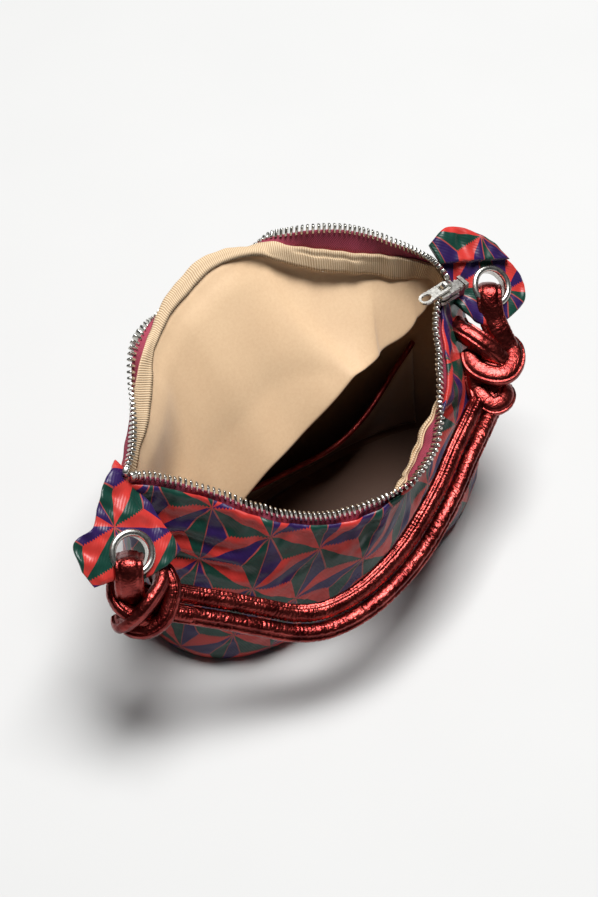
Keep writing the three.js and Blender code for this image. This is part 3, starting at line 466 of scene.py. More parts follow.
def hem(x, under, height, wavelength, seed, spread):
    """Ripples of a height and wavelength under the sewn hem."""
    return height * waves(x, 0 * x, wavelength, seed) * np.exp(-((under - HEM_UNDER) ** 2) / spread)


def drape(x, y, height, wide, tall, wavelength, seed):
    """Ripples of a height and wavelength all over, closer along or up the cloth."""
    return height * waves(x * wide, y * tall, wavelength, seed)


def on_wall(folds, x, y, under):
    """Folds that stop at the foot, and the swell by the right end of both walls."""
    swell = SWELL * ramp(x, *SWELL_X) * hump(under, SWELL_UNDER, SWELL_HEIGHT)
    return folds * np.clip(y / FLAT_FOOT, 0, 1) + swell


def front_folds(x, y, under):
    """Folds of the front in mm."""
    spread = hump(x, SAG_X, SAG_WIDTH) * hump(under, SAG_UNDER, SAG_HEIGHT)
    sag = SAG * np.sin(under * SAG_STEEP + SAG_SLANT * x) * spread
    crumple = sum(drape(x, y, *row) for row in CRUMPLES)
    return on_wall(hem(x, under, *FRONT_HEM) + drape(x, y, *FRONT_DRAPE) + sag + crumple, x, y, under)


def back_folds(x, y, under):
    """Folds of the back in mm."""
    return on_wall(hem(x, under, *BACK_HEM) + drape(x, y, *BACK_DRAPE), x, y, under)


print("the right end swells out by", SWELL, "mm")

# %% [markdown]
# ## Pulled rims
# A soft rim doesn't follow a drawn arc. It wanders, sags and, over the middle of the back, rolls outwards.
# Lattices or shape keys could push it there, but a table is easier to correct. Each row has a share along the
# rim and then, at four distances under the teeth, how far the cloth is drawn right and up as it is seen, in
# mm. Cubics join the rows without a kink, and the pull fades out further down.

# %% Pulls on the two rims
PULL_UNDER = [0, 7, 11, 17]
FRONT_PULLS = [
    (0.00, 0, 0, 0, 0, 0, 0, 0, 0),
    (0.06, -0.5, 3.5, -0.5, 3.5, -0.5, 3.5, -0.5, 3.5),
    (0.11, -1, 2.5, -1, 2.5, -1, 2.5, -1, 2.5),
    (0.20, 1, -1, 1, -1, 1, -1, 1, -1),
    (0.30, 1.5, -2, 1.5, -2, 1.5, -2, 1.5, -2),
    (0.40, 1, -1, 1, -1, 1, -1, 1, -1),
    (0.50, 2, 0.5, 2, 0.5, 2, 0.5, 2, 0.5),
    (0.55, 4, -1.5, 3.5, 3.5, 3, 6, 2, 10),
    (0.60, 7.5, -3.5, 3, 0.5, 2, 2.5, -0.5, 7),
    (0.65, 8, -2, 1.5, 2.5, 1.5, 5.5, -1, 9),
    (0.70, 6.5, 0, 1, 2.5, 0, 5, -2.5, 10),
    (0.75, 7, 1, 5, 3.5, 4.5, 4.5, 1.5, 7.5),
    (0.80, 5, 3, 5, 3, 5, 3, 5, 3),
    (0.85, 1.5, 3.5, 1.5, 3.5, 1.5, 3.5, 1.5, 3.5),
    (0.90, -2, 4.5, -2, 4.5, -2, 4.5, -2, 4.5),
    (0.95, -5.5, 4.5, -5.5, 4.5, -5.5, 4.5, -5.5, 4.5),
    (1.00, 0, 0, 0, 0, 0, 0, 0, 0),
]
BACK_PULLS = [
    (0.00, 0, 0, 0, 0, 0, 0, 0, 0),
    (0.06, 6.5, -1.5, 3, 1.5, 4.5, 3.5, 7.5, 6.5),
    (0.11, 6, -3.5, 3.5, 0, 6, 2.5, 10.5, 6),
    (0.15, 3, -4, 2, 0, 5, 2, 9.5, 6),
    (0.20, -1.5, -3.5, -0.5, 1, 2, 3.5, 6, 7.5),
    (0.25, -4.5, -0.5, -1.5, 3, 0, 5.5, 2, 8.5),
    (0.30, -4.5, 0.5, -2, 3, -1.5, 5, 0.5, 7.5),
    (0.35, -4, -2.5, -3, 4.5, -2.5, 7.5, -0.5, 8.5),
    (0.40, -1.5, -1.5, -2.5, 5.5, -2.5, 8.5, -0.5, 8),
    (0.45, 0.5, 0, -1.5, 7, -2, 10, 0, 10),
    (0.50, 1, -2, -0.5, 5, -1, 8, -0.5, 9),
    (0.55, 1, -3.5, -1, 2, -1.5, 4, -2, 7),
    (0.60, -0.5, -1.5, -2, 0.5, -3, 1, -3, 4),
    (0.65, -0.5, -1, -1.5, -1.5, -2.5, -0.5, -2.5, -1.5),
    (0.70, 0, -0.5, -0.5, -3.5, -0.5, -3, -0.5, -5),
    (0.75, 1, 0, 0, -4, 0, -3.5, 0, -5.5),
    (0.80, 1, -0.5, 0.5, -3.5, 0.5, -3.5, 0.5, -5),
    (0.85, 1, -1, 0.5, -1.5, 0.5, -2.5, 1, -5.5),
    (0.90, 0.5, 1, 1.5, 2, 0.5, 1.5, -1, -0.5),
    (0.95, 0.5, 3.5, 2.5, 5.5, 0.5, 6, -1.5, 5),
    (1.00, 0, 0, 0, 0, 0, 0, 0, 0),
]
print("rows in the two tables:", len(FRONT_PULLS), "and", len(BACK_PULLS))

# %% Cubics through a table
def eased(at, table):
    """Rows between those of a table, on cubics without a kink. Its first column is the place along."""
    table = np.asarray(table, float)
    places, rows = table[:, 0], table[:, 1:]
    slope = np.gradient(rows, places, axis=0)
    k = np.clip(np.searchsorted(places, at) - 1, 0, len(places) - 2)
    gap = (places[k + 1] - places[k])[:, None]
    t = np.clip((at - places[k])[:, None] / gap, 0, 1)
    step = t * t * (3 - 2 * t)
    bend = gap * (slope[k] * t * (1 - t) ** 2 - slope[k + 1] * t**2 * (1 - t))
    return rows[k] * (1 - step) + rows[k + 1] * step + bend


print("half way between 0 and 2:", eased(np.array([0.5]), [(0, 0), (1, 2)]).tolist())

# %% Pulled and rolled
PULL_AWAY, PULL_FADE = [23, 13, 5, 0], 62
ROLL_START = (0.22, 0.33)


def pulled(u, under, pulls, roll):
    """How far a rim lies from the smooth wall, drawn right and up as it is seen, and rolled away."""
    rows = eased(u, pulls)
    right, up = (np.stack([np.interp(d, PULL_UNDER, row) for d, row in zip(under, part)])
                 for part in (rows[:, ::2], rows[:, 1::2]))
    away = roll[:, None] * np.interp(under, PULL_UNDER, PULL_AWAY)
    fade = ramp(under, PULL_FADE, PULL_UNDER[-1])[..., None]
    return fade * (right[..., None] * view_right + up[..., None] * view_up) - away[..., None] * view_back


def front_pull(u, under):
    return pulled(u, under, FRONT_PULLS, 0 * u)


def back_pull(u, under):
    return pulled(u, under, BACK_PULLS, ramp(u, *ROLL_START) * ramp(u, *ROLL_STOP))


front_wall = Wall(side=-1, bow=70, lean=-35, power=(1.15, 1.15), depth=58, bulge=9,
                  folds=front_folds, pull=front_pull)
back_wall = Wall(side=1, bow=71, lean=30, power=(0.64, 0.5), depth=32, bulge=5,
                 folds=back_folds, pull=back_pull)
print("rims:", round(front_wall.rim_length), "and", round(back_wall.rim_length), "mm")

# %% Layers of cloth
PANEL, TAPE, LINING, BINDING, GAP = 1.6, 0.8, 0.8, 1.2, 0.3
TAPE_DEPTH = PANEL + GAP
LINING_DEPTH = TAPE_DEPTH + TAPE + GAP
BINDING_DEPTH = LINING_DEPTH + LINING + GAP


def shell_faces(columns, rows):
    """Faces of a closed shell between two grids, the outer grid first."""
    size = columns * rows
    faces = []
    for i in range(columns - 1):
        for j in range(rows - 1):
            a, b = i * rows + j, (i + 1) * rows + j
            faces.append((a, b, b + 1, a + 1))
            faces.append((size + a, size + a + 1, size + b + 1, size + b))
    edge = [i * rows for i in range(columns)] + [(columns - 1) * rows + j for j in range(1, rows)]
    edge += [i * rows + rows - 1 for i in reversed(range(columns - 1))] + list(reversed(range(1, rows - 1)))
    for a, b in zip(edge, edge[1:] + edge[:1]):
        faces.append((b, a, size + a, size + b))
    return faces


def add_layer(name, outer, inner, material, uv):
    """A closed layer of cloth between two grids of points."""
    columns, rows = outer.shape[:2]
    points = np.vstack([outer.reshape(-1, 3), inner.reshape(-1, 3)])
    marks = np.asarray(uv).reshape(-1, 2)
    return add_mesh(name, points, shell_faces(columns, rows), material, np.vstack([marks, marks]))


print("a layer of 3 by 3 points has", len(shell_faces(3, 3)), "faces")

# %% [markdown]
# ## Jacquard
# The cloth is a satin jacquard: red, green and purple silk floats in the old hemp-leaf pattern, a lattice
# of six-pointed stars. Every triangle between three stars is split from its middle into three colours. A
# red thread outlines the upright edges, and the level edges are woven with a fine zigzag. An image could be
# wrapped on, but the shader works all that out from lengths on the cloth, so the pattern keeps its real size
# and stays sharp on any piece.

# %% Lattice of the jacquard
STAR_WIDTH, STAR_HEIGHT = 25.0, 30.5
jacquard, tree, shader = new_material("hemp_leaf_jacquard")
cloth = add(tree, "UVMap", [], uv_map="cloth")
per_star = (1 / (STAR_WIDTH * MM), 1 / (STAR_HEIGHT * MM), 0)
lattice = add(tree, "VectorMath", [cloth, per_star], operation="MULTIPLY")
split = add(tree, "SeparateXYZ", [lattice])
column = split.outputs["X"]
slope = add(tree, "Math", [column, 0.5], operation="MULTIPLY")
row = add(tree, "Math", [split.outputs["Y"], slope], operation="SUBTRACT")
a, b = (add(tree, "Math", [part], operation="FRACT") for part in (column, row))
both = add(tree, "Math", [a, b], operation="ADD")
upper = add(tree, "Math", [both, 1], operation="GREATER_THAN")
# How far a point is from the three edges of its triangle, as shares of its height.
p, q, r = (
    add(tree, "Math", [add(tree, "Math", pair, operation="SUBTRACT")], operation="ABSOLUTE")
    for pair in ((upper, a), (upper, b), (1, both))
)
least = add(tree, "Math", [q, r], operation="MINIMUM")
print("stars stand", STAR_WIDTH, "by", STAR_HEIGHT, "mm apart")

# %% Edges in the jacquard
THREAD, SPOKE_SHARE, EDGE_SHARE = 0.35, 1.6, 0.6
ZIGZAG_PERIOD, ZIGZAG_HEIGHT = 1.3, 0.5
run = add(tree, "Math", [column, STAR_WIDTH], operation="MULTIPLY")
saw = add(tree, "Math", [run, ZIGZAG_PERIOD / 2], operation="PINGPONG")
centred = add(tree, "Math", [saw, ZIGZAG_PERIOD / 4], operation="SUBTRACT")
zigzag = add(tree, "Math", [centred, 8 * ZIGZAG_HEIGHT / STAR_HEIGHT / ZIGZAG_PERIOD], operation="MULTIPLY")
upright = add(tree, "Math", [p, least], operation="LESS_THAN")
level = add(tree, "Math", [q, add(tree, "Math", [r, zigzag], operation="ADD")], operation="LESS_THAN")
near = add(tree, "Mix", {"Factor": upper, 2: r, 3: q})
far = add(tree, "Mix", {"Factor": upper, 2: q, 3: r})
apart = add(tree, "Math", [add(tree, "Math", [p, near], operation="SUBTRACT")], operation="ABSOLUTE")
on_spoke = add(tree, "Math", [apart, SPOKE_SHARE * THREAD / STAR_WIDTH], operation="LESS_THAN")
in_reach = add(tree, "Math", [p, far], operation="LESS_THAN")
spoke = add(tree, "Math", [on_spoke, in_reach], operation="MULTIPLY")
on_edge = add(tree, "Math", [p, EDGE_SHARE * THREAD / STAR_WIDTH], operation="LESS_THAN")
thread = add(tree, "Math", [spoke, on_edge], operation="MAXIMUM")
print("outlines are", THREAD, "mm threads")

# %% Colours and relief of the jacquard
# Silk floats: deep colours with a soft gloss, each field a little puffed between its threads.
RED, GREEN, PURPLE, OUTLINE = "#c2352f", "#0e3c31", "#2b164f", "#a04440"
MOTTLE = 6
# The real twill is finer. It is as coarse as it has to be to show.
TWILL = 0.9
# A wave texture of scale 1 repeats at this length.
WAVE = np.pi / 10
upright_colour, upper_colour, lower_colour = (
    add(tree, "Mix", {0: upper, 6: linear(one), 7: linear(other)}, data_type="RGBA").outputs[2]
    for one, other in ((PURPLE, GREEN), (RED, PURPLE), (GREEN, RED))
)
slanting = add(tree, "Mix", {0: level, 6: lower_colour, 7: upper_colour}, data_type="RGBA").outputs[2]
fields = add(tree, "Mix", {0: upright, 6: slanting, 7: upright_colour}, data_type="RGBA").outputs[2]
outlined = add(tree, "Mix", {0: thread, 6: fields, 7: linear(OUTLINE)}, data_type="RGBA").outputs[2]
mottle = add(tree, "TexNoise", {"Vector": cloth, "Scale": 1 / (MOTTLE * MM), "Detail": 3})
shade = add(tree, "MapRange", {"Value": mottle, "To Min": 0.72, "To Max": 1.25})
woven = add(tree, "Mix", {0: 1, 6: outlined, 7: shade}, data_type="RGBA", blend_type="MULTIPLY").outputs[2]
lines = {"Vector": cloth, "Scale": WAVE / (TWILL * MM), "Distortion": 1.2, "Detail Scale": 2}
twill = add(tree, "TexWave", lines, bands_direction="DIAGONAL").outputs[1]
puff = add(tree, "MapRange", {"Value": add(tree, "Math", [p, least], operation="MINIMUM"), "From Max": 0.1})
relief = add(tree, "Mix", {"Factor": 0.35, 2: puff, 3: twill})
bump = add(tree, "Bump", {"Height": relief, "Strength": 0.35, "Distance": 0.3 * MM})
connect(shader, {"Base Color": woven, "Normal": bump, "Roughness": 0.38, "Specular IOR Level": 0.5})
connect(shader, {"Sheen Weight": 0.03, "Sheen Roughness": 0.4})
print("twill lines every", TWILL, "mm")

# %% Lengths on the panels
FIRST_STAR_HEIGHT, BACK_STAR_HEIGHT = 71, 10
STAR_FOOT, STAR_RISE, STAR_LIMITS = 0.1, 0.55, (-0.3, 1.7)
FIRST_LOW, FIRST_SHIFT, STEP_LOW, STEP_GROWTH = 0.102, 0.045, 0.085, 0.017


def star_lengths(u, s, y):
    """Lengths on the front cloth, set so that the stars stand where they are seen."""
    share = np.clip((s - STAR_FOOT) / STAR_RISE, *STAR_LIMITS)
    first, step = FIRST_LOW + FIRST_SHIFT * share, STEP_LOW + STEP_GROWTH * share
    return np.stack([(u[:, None] - first) / step * STAR_WIDTH, y - FIRST_STAR_HEIGHT], axis=-1)


def plain_lengths(u, s, y):
    """Lengths on the back cloth."""
    return np.stack([(u[:, None] - 0.5) * back_wall.rim_length + 0 * s, y - BACK_STAR_HEIGHT], axis=-1)


print("a star stands", FIRST_STAR_HEIGHT, "mm up the front")

# %% Front and back panels
PANEL_COLUMNS, PANEL_ROWS, ROW_GATHER = 220, 70, 0.9
FRONT_TAPE_SHOWN, BACK_TAPE_SHOWN = 3, 10
HEM_ROLL, HEM_ROLL_HALF = 0.8, 2.5
EDGE_THIN, EDGE_WIDTH = 0.75, 1.2


def make_panel(name, wall, marks, shown):
    """A wall's outer cloth, with a rolled hem that leaves some of the tape to show."""
    u = np.linspace(0, 1, PANEL_COLUMNS)
    top = below(wall, u, shown)
    s = top[:, None] * np.linspace(0, 1, PANEL_ROWS)[None] ** ROW_GATHER
    _, tall = profiles(wall, u)
    under = (top[:, None] - s) * tall[:, None]
    roll = HEM_ROLL * np.sqrt(np.clip(1 - (under / HEM_ROLL_HALF - 1) ** 2, 0, 1))
    outer = sheet(wall, u, s, -roll)
    inner = sheet(wall, u, s, PANEL - EDGE_THIN * PANEL * np.clip(1 - under / EDGE_WIDTH, 0, 1))
    return add_layer(name, outer, inner, jacquard, marks(u, s, s * tall[:, None]))


front_panel = make_panel("front_jacquard", front_wall, star_lengths, FRONT_TAPE_SHOWN)
back_panel = make_panel("back_jacquard", back_wall, plain_lengths, BACK_TAPE_SHOWN)
print("front panel has", len(front_panel.data.polygons), "faces")

# %% [markdown]
# ## Base, lining and pocket
# The lining is a tan polyester satin. Inside the bag it hangs from the binding in a flat fall, and breaks in
# one long slanting ridge above the slip pocket. The ridge is a crest line, with a height and a reach at a few
# places, because a simulated lining would break somewhere else. Painted shade darkens the satin towards the
# base:
# little light comes down there between soft walls, and more would come into this stiff open shape.

# %% Satin lining
# Long floats spread the light in a soft sheen, without a clear highlight. The grain is as coarse as it has
# to be to show.
SATIN_GRAIN, SATIN_CLOUD = 1.6, 30
PAINTED_SHADE_FULL_BELOW, PAINTED_SHADE_GONE_ABOVE = 5, 80
satin, tree, shader = new_material("tan_lining_satin")
place = add(tree, "TexCoord", []).outputs["Object"]
weave = {"Vector": place, "Scale": 1 / (SATIN_GRAIN * MM), "Detail": 5, "Roughness": 0.7}
grain = add(tree, "TexNoise", weave)
cloud = add(tree, "TexNoise", {"Vector": place, "Scale": 1 / (SATIN_CLOUD * MM), "Detail": 2})
mix = add(tree, "Mix", {"Factor": 0.35, 2: grain, 3: cloud})
tint = add(tree, "ValToRGB", [mix], stops=[(0.3, "#d3b08a"), (0.7, "#dfbf98")])
bump = add(tree, "Bump", {"Height": grain, "Strength": 0.12, "Distance": 0.15 * MM})
# Painted shade: the satin's colour darkens smoothly towards the base, to dark brown at the bottom.
height = add(tree, "SeparateXYZ", [place]).outputs["Z"]
rise = {"Value": height, "From Min": PAINTED_SHADE_FULL_BELOW * MM, "From Max": PAINTED_SHADE_GONE_ABOVE * MM}
depth = add(tree, "MapRange", rise, interpolation_type="SMOOTHSTEP")
shade = add(tree, "Mix", {0: depth, 6: linear("#4a2c18"), 7: tint}, data_type="RGBA").outputs[2]
connect(shader, {"Base Color": shade, "Normal": bump, "Roughness": 0.6, "Sheen Weight": 0.3})
print("satin grain is", SATIN_GRAIN, "mm")

# %% Ridge of the back lining
# Places along the rim, with the height of the crest up the wall and its reach into the bag.
RIDGES = [
    (-130, 56, 10), (-60, 56, 46), (-32, 66, 50), (-4, 69, 50),
    (28, 82.5, 50), (64, 97.5, 43.5), (98, 98.5, 23), (130, 100, 0),
]
RIDGE_DROP, RIDGE_RISE, RIDGE_ROUND = 12, 3, 0.01
HOLLOW, HOLLOW_UNDER = 5, 10
OVERHANG_START, OVERHANG_STOP = (0.48, 0.58), (0.88, 0.68)


def overhang(u):
    """Share of the full overhang that the back rim's binding has at each share along it."""
    return ramp(u, *OVERHANG_START) * ramp(u, *OVERHANG_STOP)


def ridge(u):
    """Height of the ridge up the back wall and its reach into the bag at each share along, in mm."""
    rows = eased((u - 0.5) * back_wall.rim_length, RIDGES)
    return rows[:, :1], rows[:, 1:]


def ridge_bulge(u, y, top):
    """How far the back lining stands off the wall, in mm: a flat fall to the ridge and a drop under it."""
    crest, reach = ridge(u)
    hollow = top - HOLLOW_UNDER - HOLLOW * overhang(u)[:, None]
    above = np.clip((hollow - y) / np.maximum(hollow - crest, 1), 0, 1)
    under = ramp(y, crest - RIDGE_DROP, crest + RIDGE_RISE)
    return reach * np.maximum(above + under - np.sqrt((above - under) ** 2 + RIDGE_ROUND), 0) / 2


print("ridge stands off the wall by up to", max(reach for _, _, reach in RIDGES), "mm")

# %% Linings of the two walls
LINING_COLUMNS, LINING_ROWS = 200, 26
BINDING_TOP, RIM_END = 7, 1.5
FRONT_BREAK = 40
GATHER_BELOW, GATHER_ABOVE = 16, 8


def rim_columns(wall, count):
    """Shares along a wall between the places where tape and binding stop."""
    margin = RIM_END / wall.rim_length
    return np.linspace(margin, 1 - margin, count)


def make_lining(name, wall, break_at, bulge):
    """A wall's lining from seam to seam, with its rows gathered where it breaks."""
    u = rim_columns(wall, LINING_COLUMNS)
    u[0], u[-1] = 0, 1
    tall = profiles(wall, u)[1][:, None]
    top = tall - BINDING_TOP - GAP
    low, high = break_at(u) - GATHER_BELOW, break_at(u) + GATHER_ABOVE
    t = np.linspace(0, 1, LINING_ROWS)[None]
    y = np.hstack([t * low, low + t[:, 1:] * (high - low), high + t[:, 1:] * (top - high)])
    out = bulge(u, y, top)
    outer = sheet(wall, u, y / tall, LINING_DEPTH + out)
    inner = sheet(wall, u, y / tall, LINING_DEPTH + LINING + out)
    marks = np.stack([(u[:, None] - 0.5) * wall.rim_length + 0 * y, y], axis=-1)
    return add_layer(name, outer, inner, satin, marks)


def front_break(u):
    return FRONT_BREAK + 0 * u[:, None]


front_lining = make_lining("front_satin", front_wall, front_break, lambda u, y, top: 0 * y)
back_lining = make_lining("back_satin", back_wall, lambda u: ridge(u)[0], ridge_bulge)
print("the back lining has", len(back_lining.data.polygons), "faces")

# %% Base plates
BASE_COLUMNS, BASE_RINGS, BASE_HOLE = 90, 16, 0.02
BASE_MIDDLE = np.array([BASE_SHIFT, -12, 0])


def make_base(name, height, thickness, material):
    """A flat oval between the rolled-under feet of the two walls."""
    u = np.linspace(0, 1, BASE_COLUMNS)
    edge = np.vstack([at_share(front_wall.base, u)[:-1], at_share(back_wall.base, u[::-1])[:-1]])
    spoke = edge - BASE_MIDDLE
    inset = 1 - (FOOT_INSET + GAP) / np.maximum(np.linalg.norm(spoke, axis=1, keepdims=True), 1)
    grid = np.stack([BASE_MIDDLE + spoke * inset * k for k in np.linspace(BASE_HOLE, 1, BASE_RINGS)], axis=1)
    grid = np.vstack([grid, grid[:1]])
    low = grid + np.array([0, 0, height])
    high = low + np.array([0, 0, thickness])
    return add_layer(name, low, high, material, grid[..., :2])


base_panel = make_base("base_jacquard", 0, PANEL, jacquard)
base_lining = make_base("base_satin", LINING_DEPTH, LINING, satin)
print("base is", round(2 * BASE_HALF_LENGTH), "mm long")

# %% Slip pocket
POCKET_HALF_WIDTH, POCKET_CENTRE, POCKET_FOOT = 68, 36, 9
POCKET_HEIGHT_LEFT, POCKET_HEIGHT_RIGHT, POCKET_SLANT = 22, 66, 2.2
POCKET_GAPE, POCKET_SPREAD, POCKET_GAPE_POWER = 21, 0.7, 1.5
POCKET, POCKET_SEAM, PIPING = 0.9, 1.1, 3
POCKET_DEPTH = LINING_DEPTH + LINING + POCKET_SEAM
POCKET_COLUMNS, POCKET_ROWS, POCKET_MARKS = 80, 24, 150


def pocket_grid(columns, rows, extra, over=0):
    """Points of the pocket panel at a depth, and with a row count of 1 its mouth."""
    t = np.linspace(0, 1, columns)
    u = 0.5 + (POCKET_CENTRE + (2 * t - 1) * POCKET_HALF_WIDTH) / back_wall.rim_length
    mouth = POCKET_HEIGHT_LEFT + (POCKET_HEIGHT_RIGHT - POCKET_HEIGHT_LEFT) * t**POCKET_SLANT + over
    rise = np.linspace(0 if rows > 1 else 1, 1, rows)[None]
    _, tall = profiles(back_wall, u)
    s = (POCKET_FOOT + (mouth[:, None] - POCKET_FOOT) * rise) / tall[:, None]
    gape = POCKET_GAPE * np.maximum(0, np.sin(np.pi * t))[:, None] ** POCKET_SPREAD * rise**POCKET_GAPE_POWER
    marks = np.stack([u[:, None] + 0 * s, s], axis=-1) * POCKET_MARKS
    return sheet(back_wall, u, s, POCKET_DEPTH + extra + gape), marks


outer, marks = pocket_grid(POCKET_COLUMNS, POCKET_ROWS, 0)
inner, _ = pocket_grid(POCKET_COLUMNS, POCKET_ROWS, POCKET)
pocket_panel = add_layer("pocket_satin", outer, inner, satin, marks)
print("pocket rises from", POCKET_HEIGHT_LEFT, "to", POCKET_HEIGHT_RIGHT, "mm")

# %% Piping on the pocket
MOUTH_COLUMNS, PIPING_STEPS, PIPING_SIDES = 60, 160, 12
mouth = even(pocket_grid(MOUTH_COLUMNS, 1, POCKET / 2, PIPING / 2)[0][:, 0], PIPING_STEPS)
across, front = carried(mouth, view_back)
turn = angles(PIPING_SIDES)
circle = np.stack([np.cos(turn), np.sin(turn)], axis=-1) * PIPING / 2
sections = np.broadcast_to(circle, (PIPING_STEPS, PIPING_SIDES, 2))
points = rings_on(mouth, across, front, sections).reshape(-1, 3)
piping = add_mesh("pocket_piping_tube", points, tube_faces(PIPING_STEPS, PIPING_SIDES), leather)
print("pocket mouth is", round(lengths(mouth)[-1]), "mm wide")

# %% [markdown]
# ## Binding and zip
# A tan grosgrain ribbon covers the seam inside the rim. Above it stands the burgundy herringbone tape with
# its row of nickel teeth. An array along a curve could repeat one tooth, but would twist it. Each tooth is
# clamped on the tape's edge, so the teeth are set one by one along the rim, upright on its own slope.

# %% Grosgrain
# Cross ribs of a stiff ribbon, without gloss: fine light and dark lines, painted shade in the troughs between
# the ribs and painted light on their crests.
RIB = 1.1
grosgrain, tree, shader = new_material("tan_grosgrain_ribbon")
cloth = add(tree, "UVMap", [], uv_map="cloth")
lines = {"Vector": cloth, "Scale": WAVE / (RIB * MM), "Distortion": 0.6, "Detail": 2}
ribs = add(tree, "TexWave", lines, bands_direction="X").outputs[1]
# Painted shade: the colour follows the rib height, darker in the troughs and lighter on the crests.
tint = add(tree, "ValToRGB", [ribs], stops=[(0, "#b89874"), (1, "#e4ccaa")])
bump = add(tree, "Bump", {"Height": ribs, "Strength": 0.6, "Distance": 0.4 * MM})
connect(shader, {"Base Color": tint, "Normal": bump, "Roughness": 0.8})
print("ribs every", RIB, "mm")

# %% Herringbone
# Dull polyester yarns that slant to and fro. They are as coarse as they have to be to show.
HERRINGBONE, YARN = 2.2, 0.9
zip_cloth, tree, shader = new_material("burgundy_herringbone_tape")
cloth = add(tree, "UVMap", [], uv_map="cloth")
split = add(tree, "SeparateXYZ", [cloth])
fold = add(tree, "Math", [split.outputs["Y"], HERRINGBONE * MM], operation="PINGPONG")
slant = add(tree, "Math", [split.outputs["X"], fold], operation="ADD")
phase = add(tree, "Math", [slant, 2 * np.pi / (YARN * MM)], operation="MULTIPLY")
yarn = add(tree, "Math", [phase], operation="SINE")
# Painted shade: the colour follows the yarns' height, darker between them and lighter on their crests.
light = add(tree, "Math", [yarn, 0.5, 0.5], operation="MULTIPLY_ADD")
tint = add(tree, "ValToRGB", [light], stops=[(0, "#742034"), (1, "#b4465e")])
bump = add(tree, "Bump", {"Height": yarn, "Strength": 0.35, "Distance": 0.2 * MM})
connect(shader, {"Base Color": tint, "Normal": bump, "Roughness": 0.75})
print("herringbone turns every", HERRINGBONE, "mm")

# %% Nickel
# A bright plate, a little warmer than chrome, that handling has dulled in spots.
WEAR = 1.5
nickel, tree, shader = new_material("bright_nickel_plate")
place = add(tree, "TexCoord", []).outputs["Object"]
wear = add(tree, "TexNoise", {"Vector": place, "Scale": 1 / (WEAR * MM), "Detail": 4})
rough = add(tree, "MapRange", {"Value": wear, "To Min": 0.18, "To Max": 0.4})
connect(shader, {"Base Color": linear("#d9d7d0"), "Metallic": 1, "Roughness": rough})
print("nickel is worn in spots of", WEAR, "mm")

# %% Ribbons round the rim
TAPE_WIDTH, TAPE_ROWS = 16, 17
BINDING_WIDTH, BINDING_ROWS, BINDING_LEAN = 10, 11, 3
RIBBON_COLUMNS = 200
RIBBON_EDGE, RIBBON_CROWN = 0.7, 0.35


def make_ribbon(name, wall, top, width, depth, thickness, material, rows, lean=0.0):
    """A ribbon along a rim, thinner at its edges. At the back it may lean away from the wall."""
    u = rim_columns(wall, RIBBON_COLUMNS)
    distance = np.linspace(top + width, top, rows)
    s = np.stack([below(wall, u, d) for d in distance], axis=1)
    marks = np.stack(np.broadcast_arrays((u * wall.rim_length)[:, None], distance[None]), axis=-1)
    crown = RIBBON_CROWN * thickness * np.sin(np.pi * np.linspace(0, 1, rows))[None]
    stand = lean * overhang(u)[:, None] * (distance - top)[None] / width if wall is back_wall else 0
    outer = sheet(wall, u, s, depth + stand + 0 * s)
    inner = sheet(wall, u, s, depth + stand + thickness * RIBBON_EDGE + crown)
    return add_layer(name, outer, inner, material, marks)


ribbons = {}
for side, wall in (("front", front_wall), ("back", back_wall)):
    ribbons[f"{side}_binding"] = make_ribbon(
        f"{side}_grosgrain", wall, BINDING_TOP, BINDING_WIDTH, BINDING_DEPTH, BINDING, grosgrain,
        BINDING_ROWS, BINDING_LEAN,
    )
    ribbons[f"{side}_zip_tape"] = make_ribbon(
        f"{side}_tape", wall, 0, TAPE_WIDTH, TAPE_DEPTH, TAPE, zip_cloth, TAPE_ROWS,
    )
print("ribbons:", ", ".join(ribbons))

# %% One tooth
TOOTH_THICKNESS, TOOTH_WIDTH, TOOTH_SIDES, TOOTH_SQUARE = 2.9, 1.45, 12, 0.55
# Rise of each ring, and its share of the full width and thickness.
TOOTH_RINGS = [
    (-1.0, 0.8, 0.9), (-0.9, 0.95, 1.0), (1.0, 1.0, 1.0), (1.6, 1.0, 1.0),
    (2.5, 1.05, 0.95), (3.0, 0.9, 0.85), (3.2, 0.6, 0.6),
]


def tooth_points():
    """One tooth round the origin: [along, up, across] rings from its legs to its head."""
    turn = angles(TOOTH_SIDES) + np.pi / TOOTH_SIDES
    square = np.stack([np.cos(turn), np.sin(turn)], axis=-1)
    square = np.sign(square) * np.abs(square) ** TOOTH_SQUARE
    rings = []
    for rise, wide, thick in TOOTH_RINGS:
        along, across = square[:, 0] * TOOTH_WIDTH / 2 * wide, square[:, 1] * TOOTH_THICKNESS / 2 * thick
        rings.append(np.stack([along, np.full(TOOTH_SIDES, rise), across], axis=-1))
    return np.vstack(rings)


print("a tooth has", len(tooth_points()), "points")

# %% Rows of teeth
TOOTH_PITCH, CHAIN_END, STOP_WIDTH = 2.5, 2.5, 3.4
CHAIN_DEPTH, ROOT_STEP = TAPE_DEPTH + TAPE / 2, 0.02


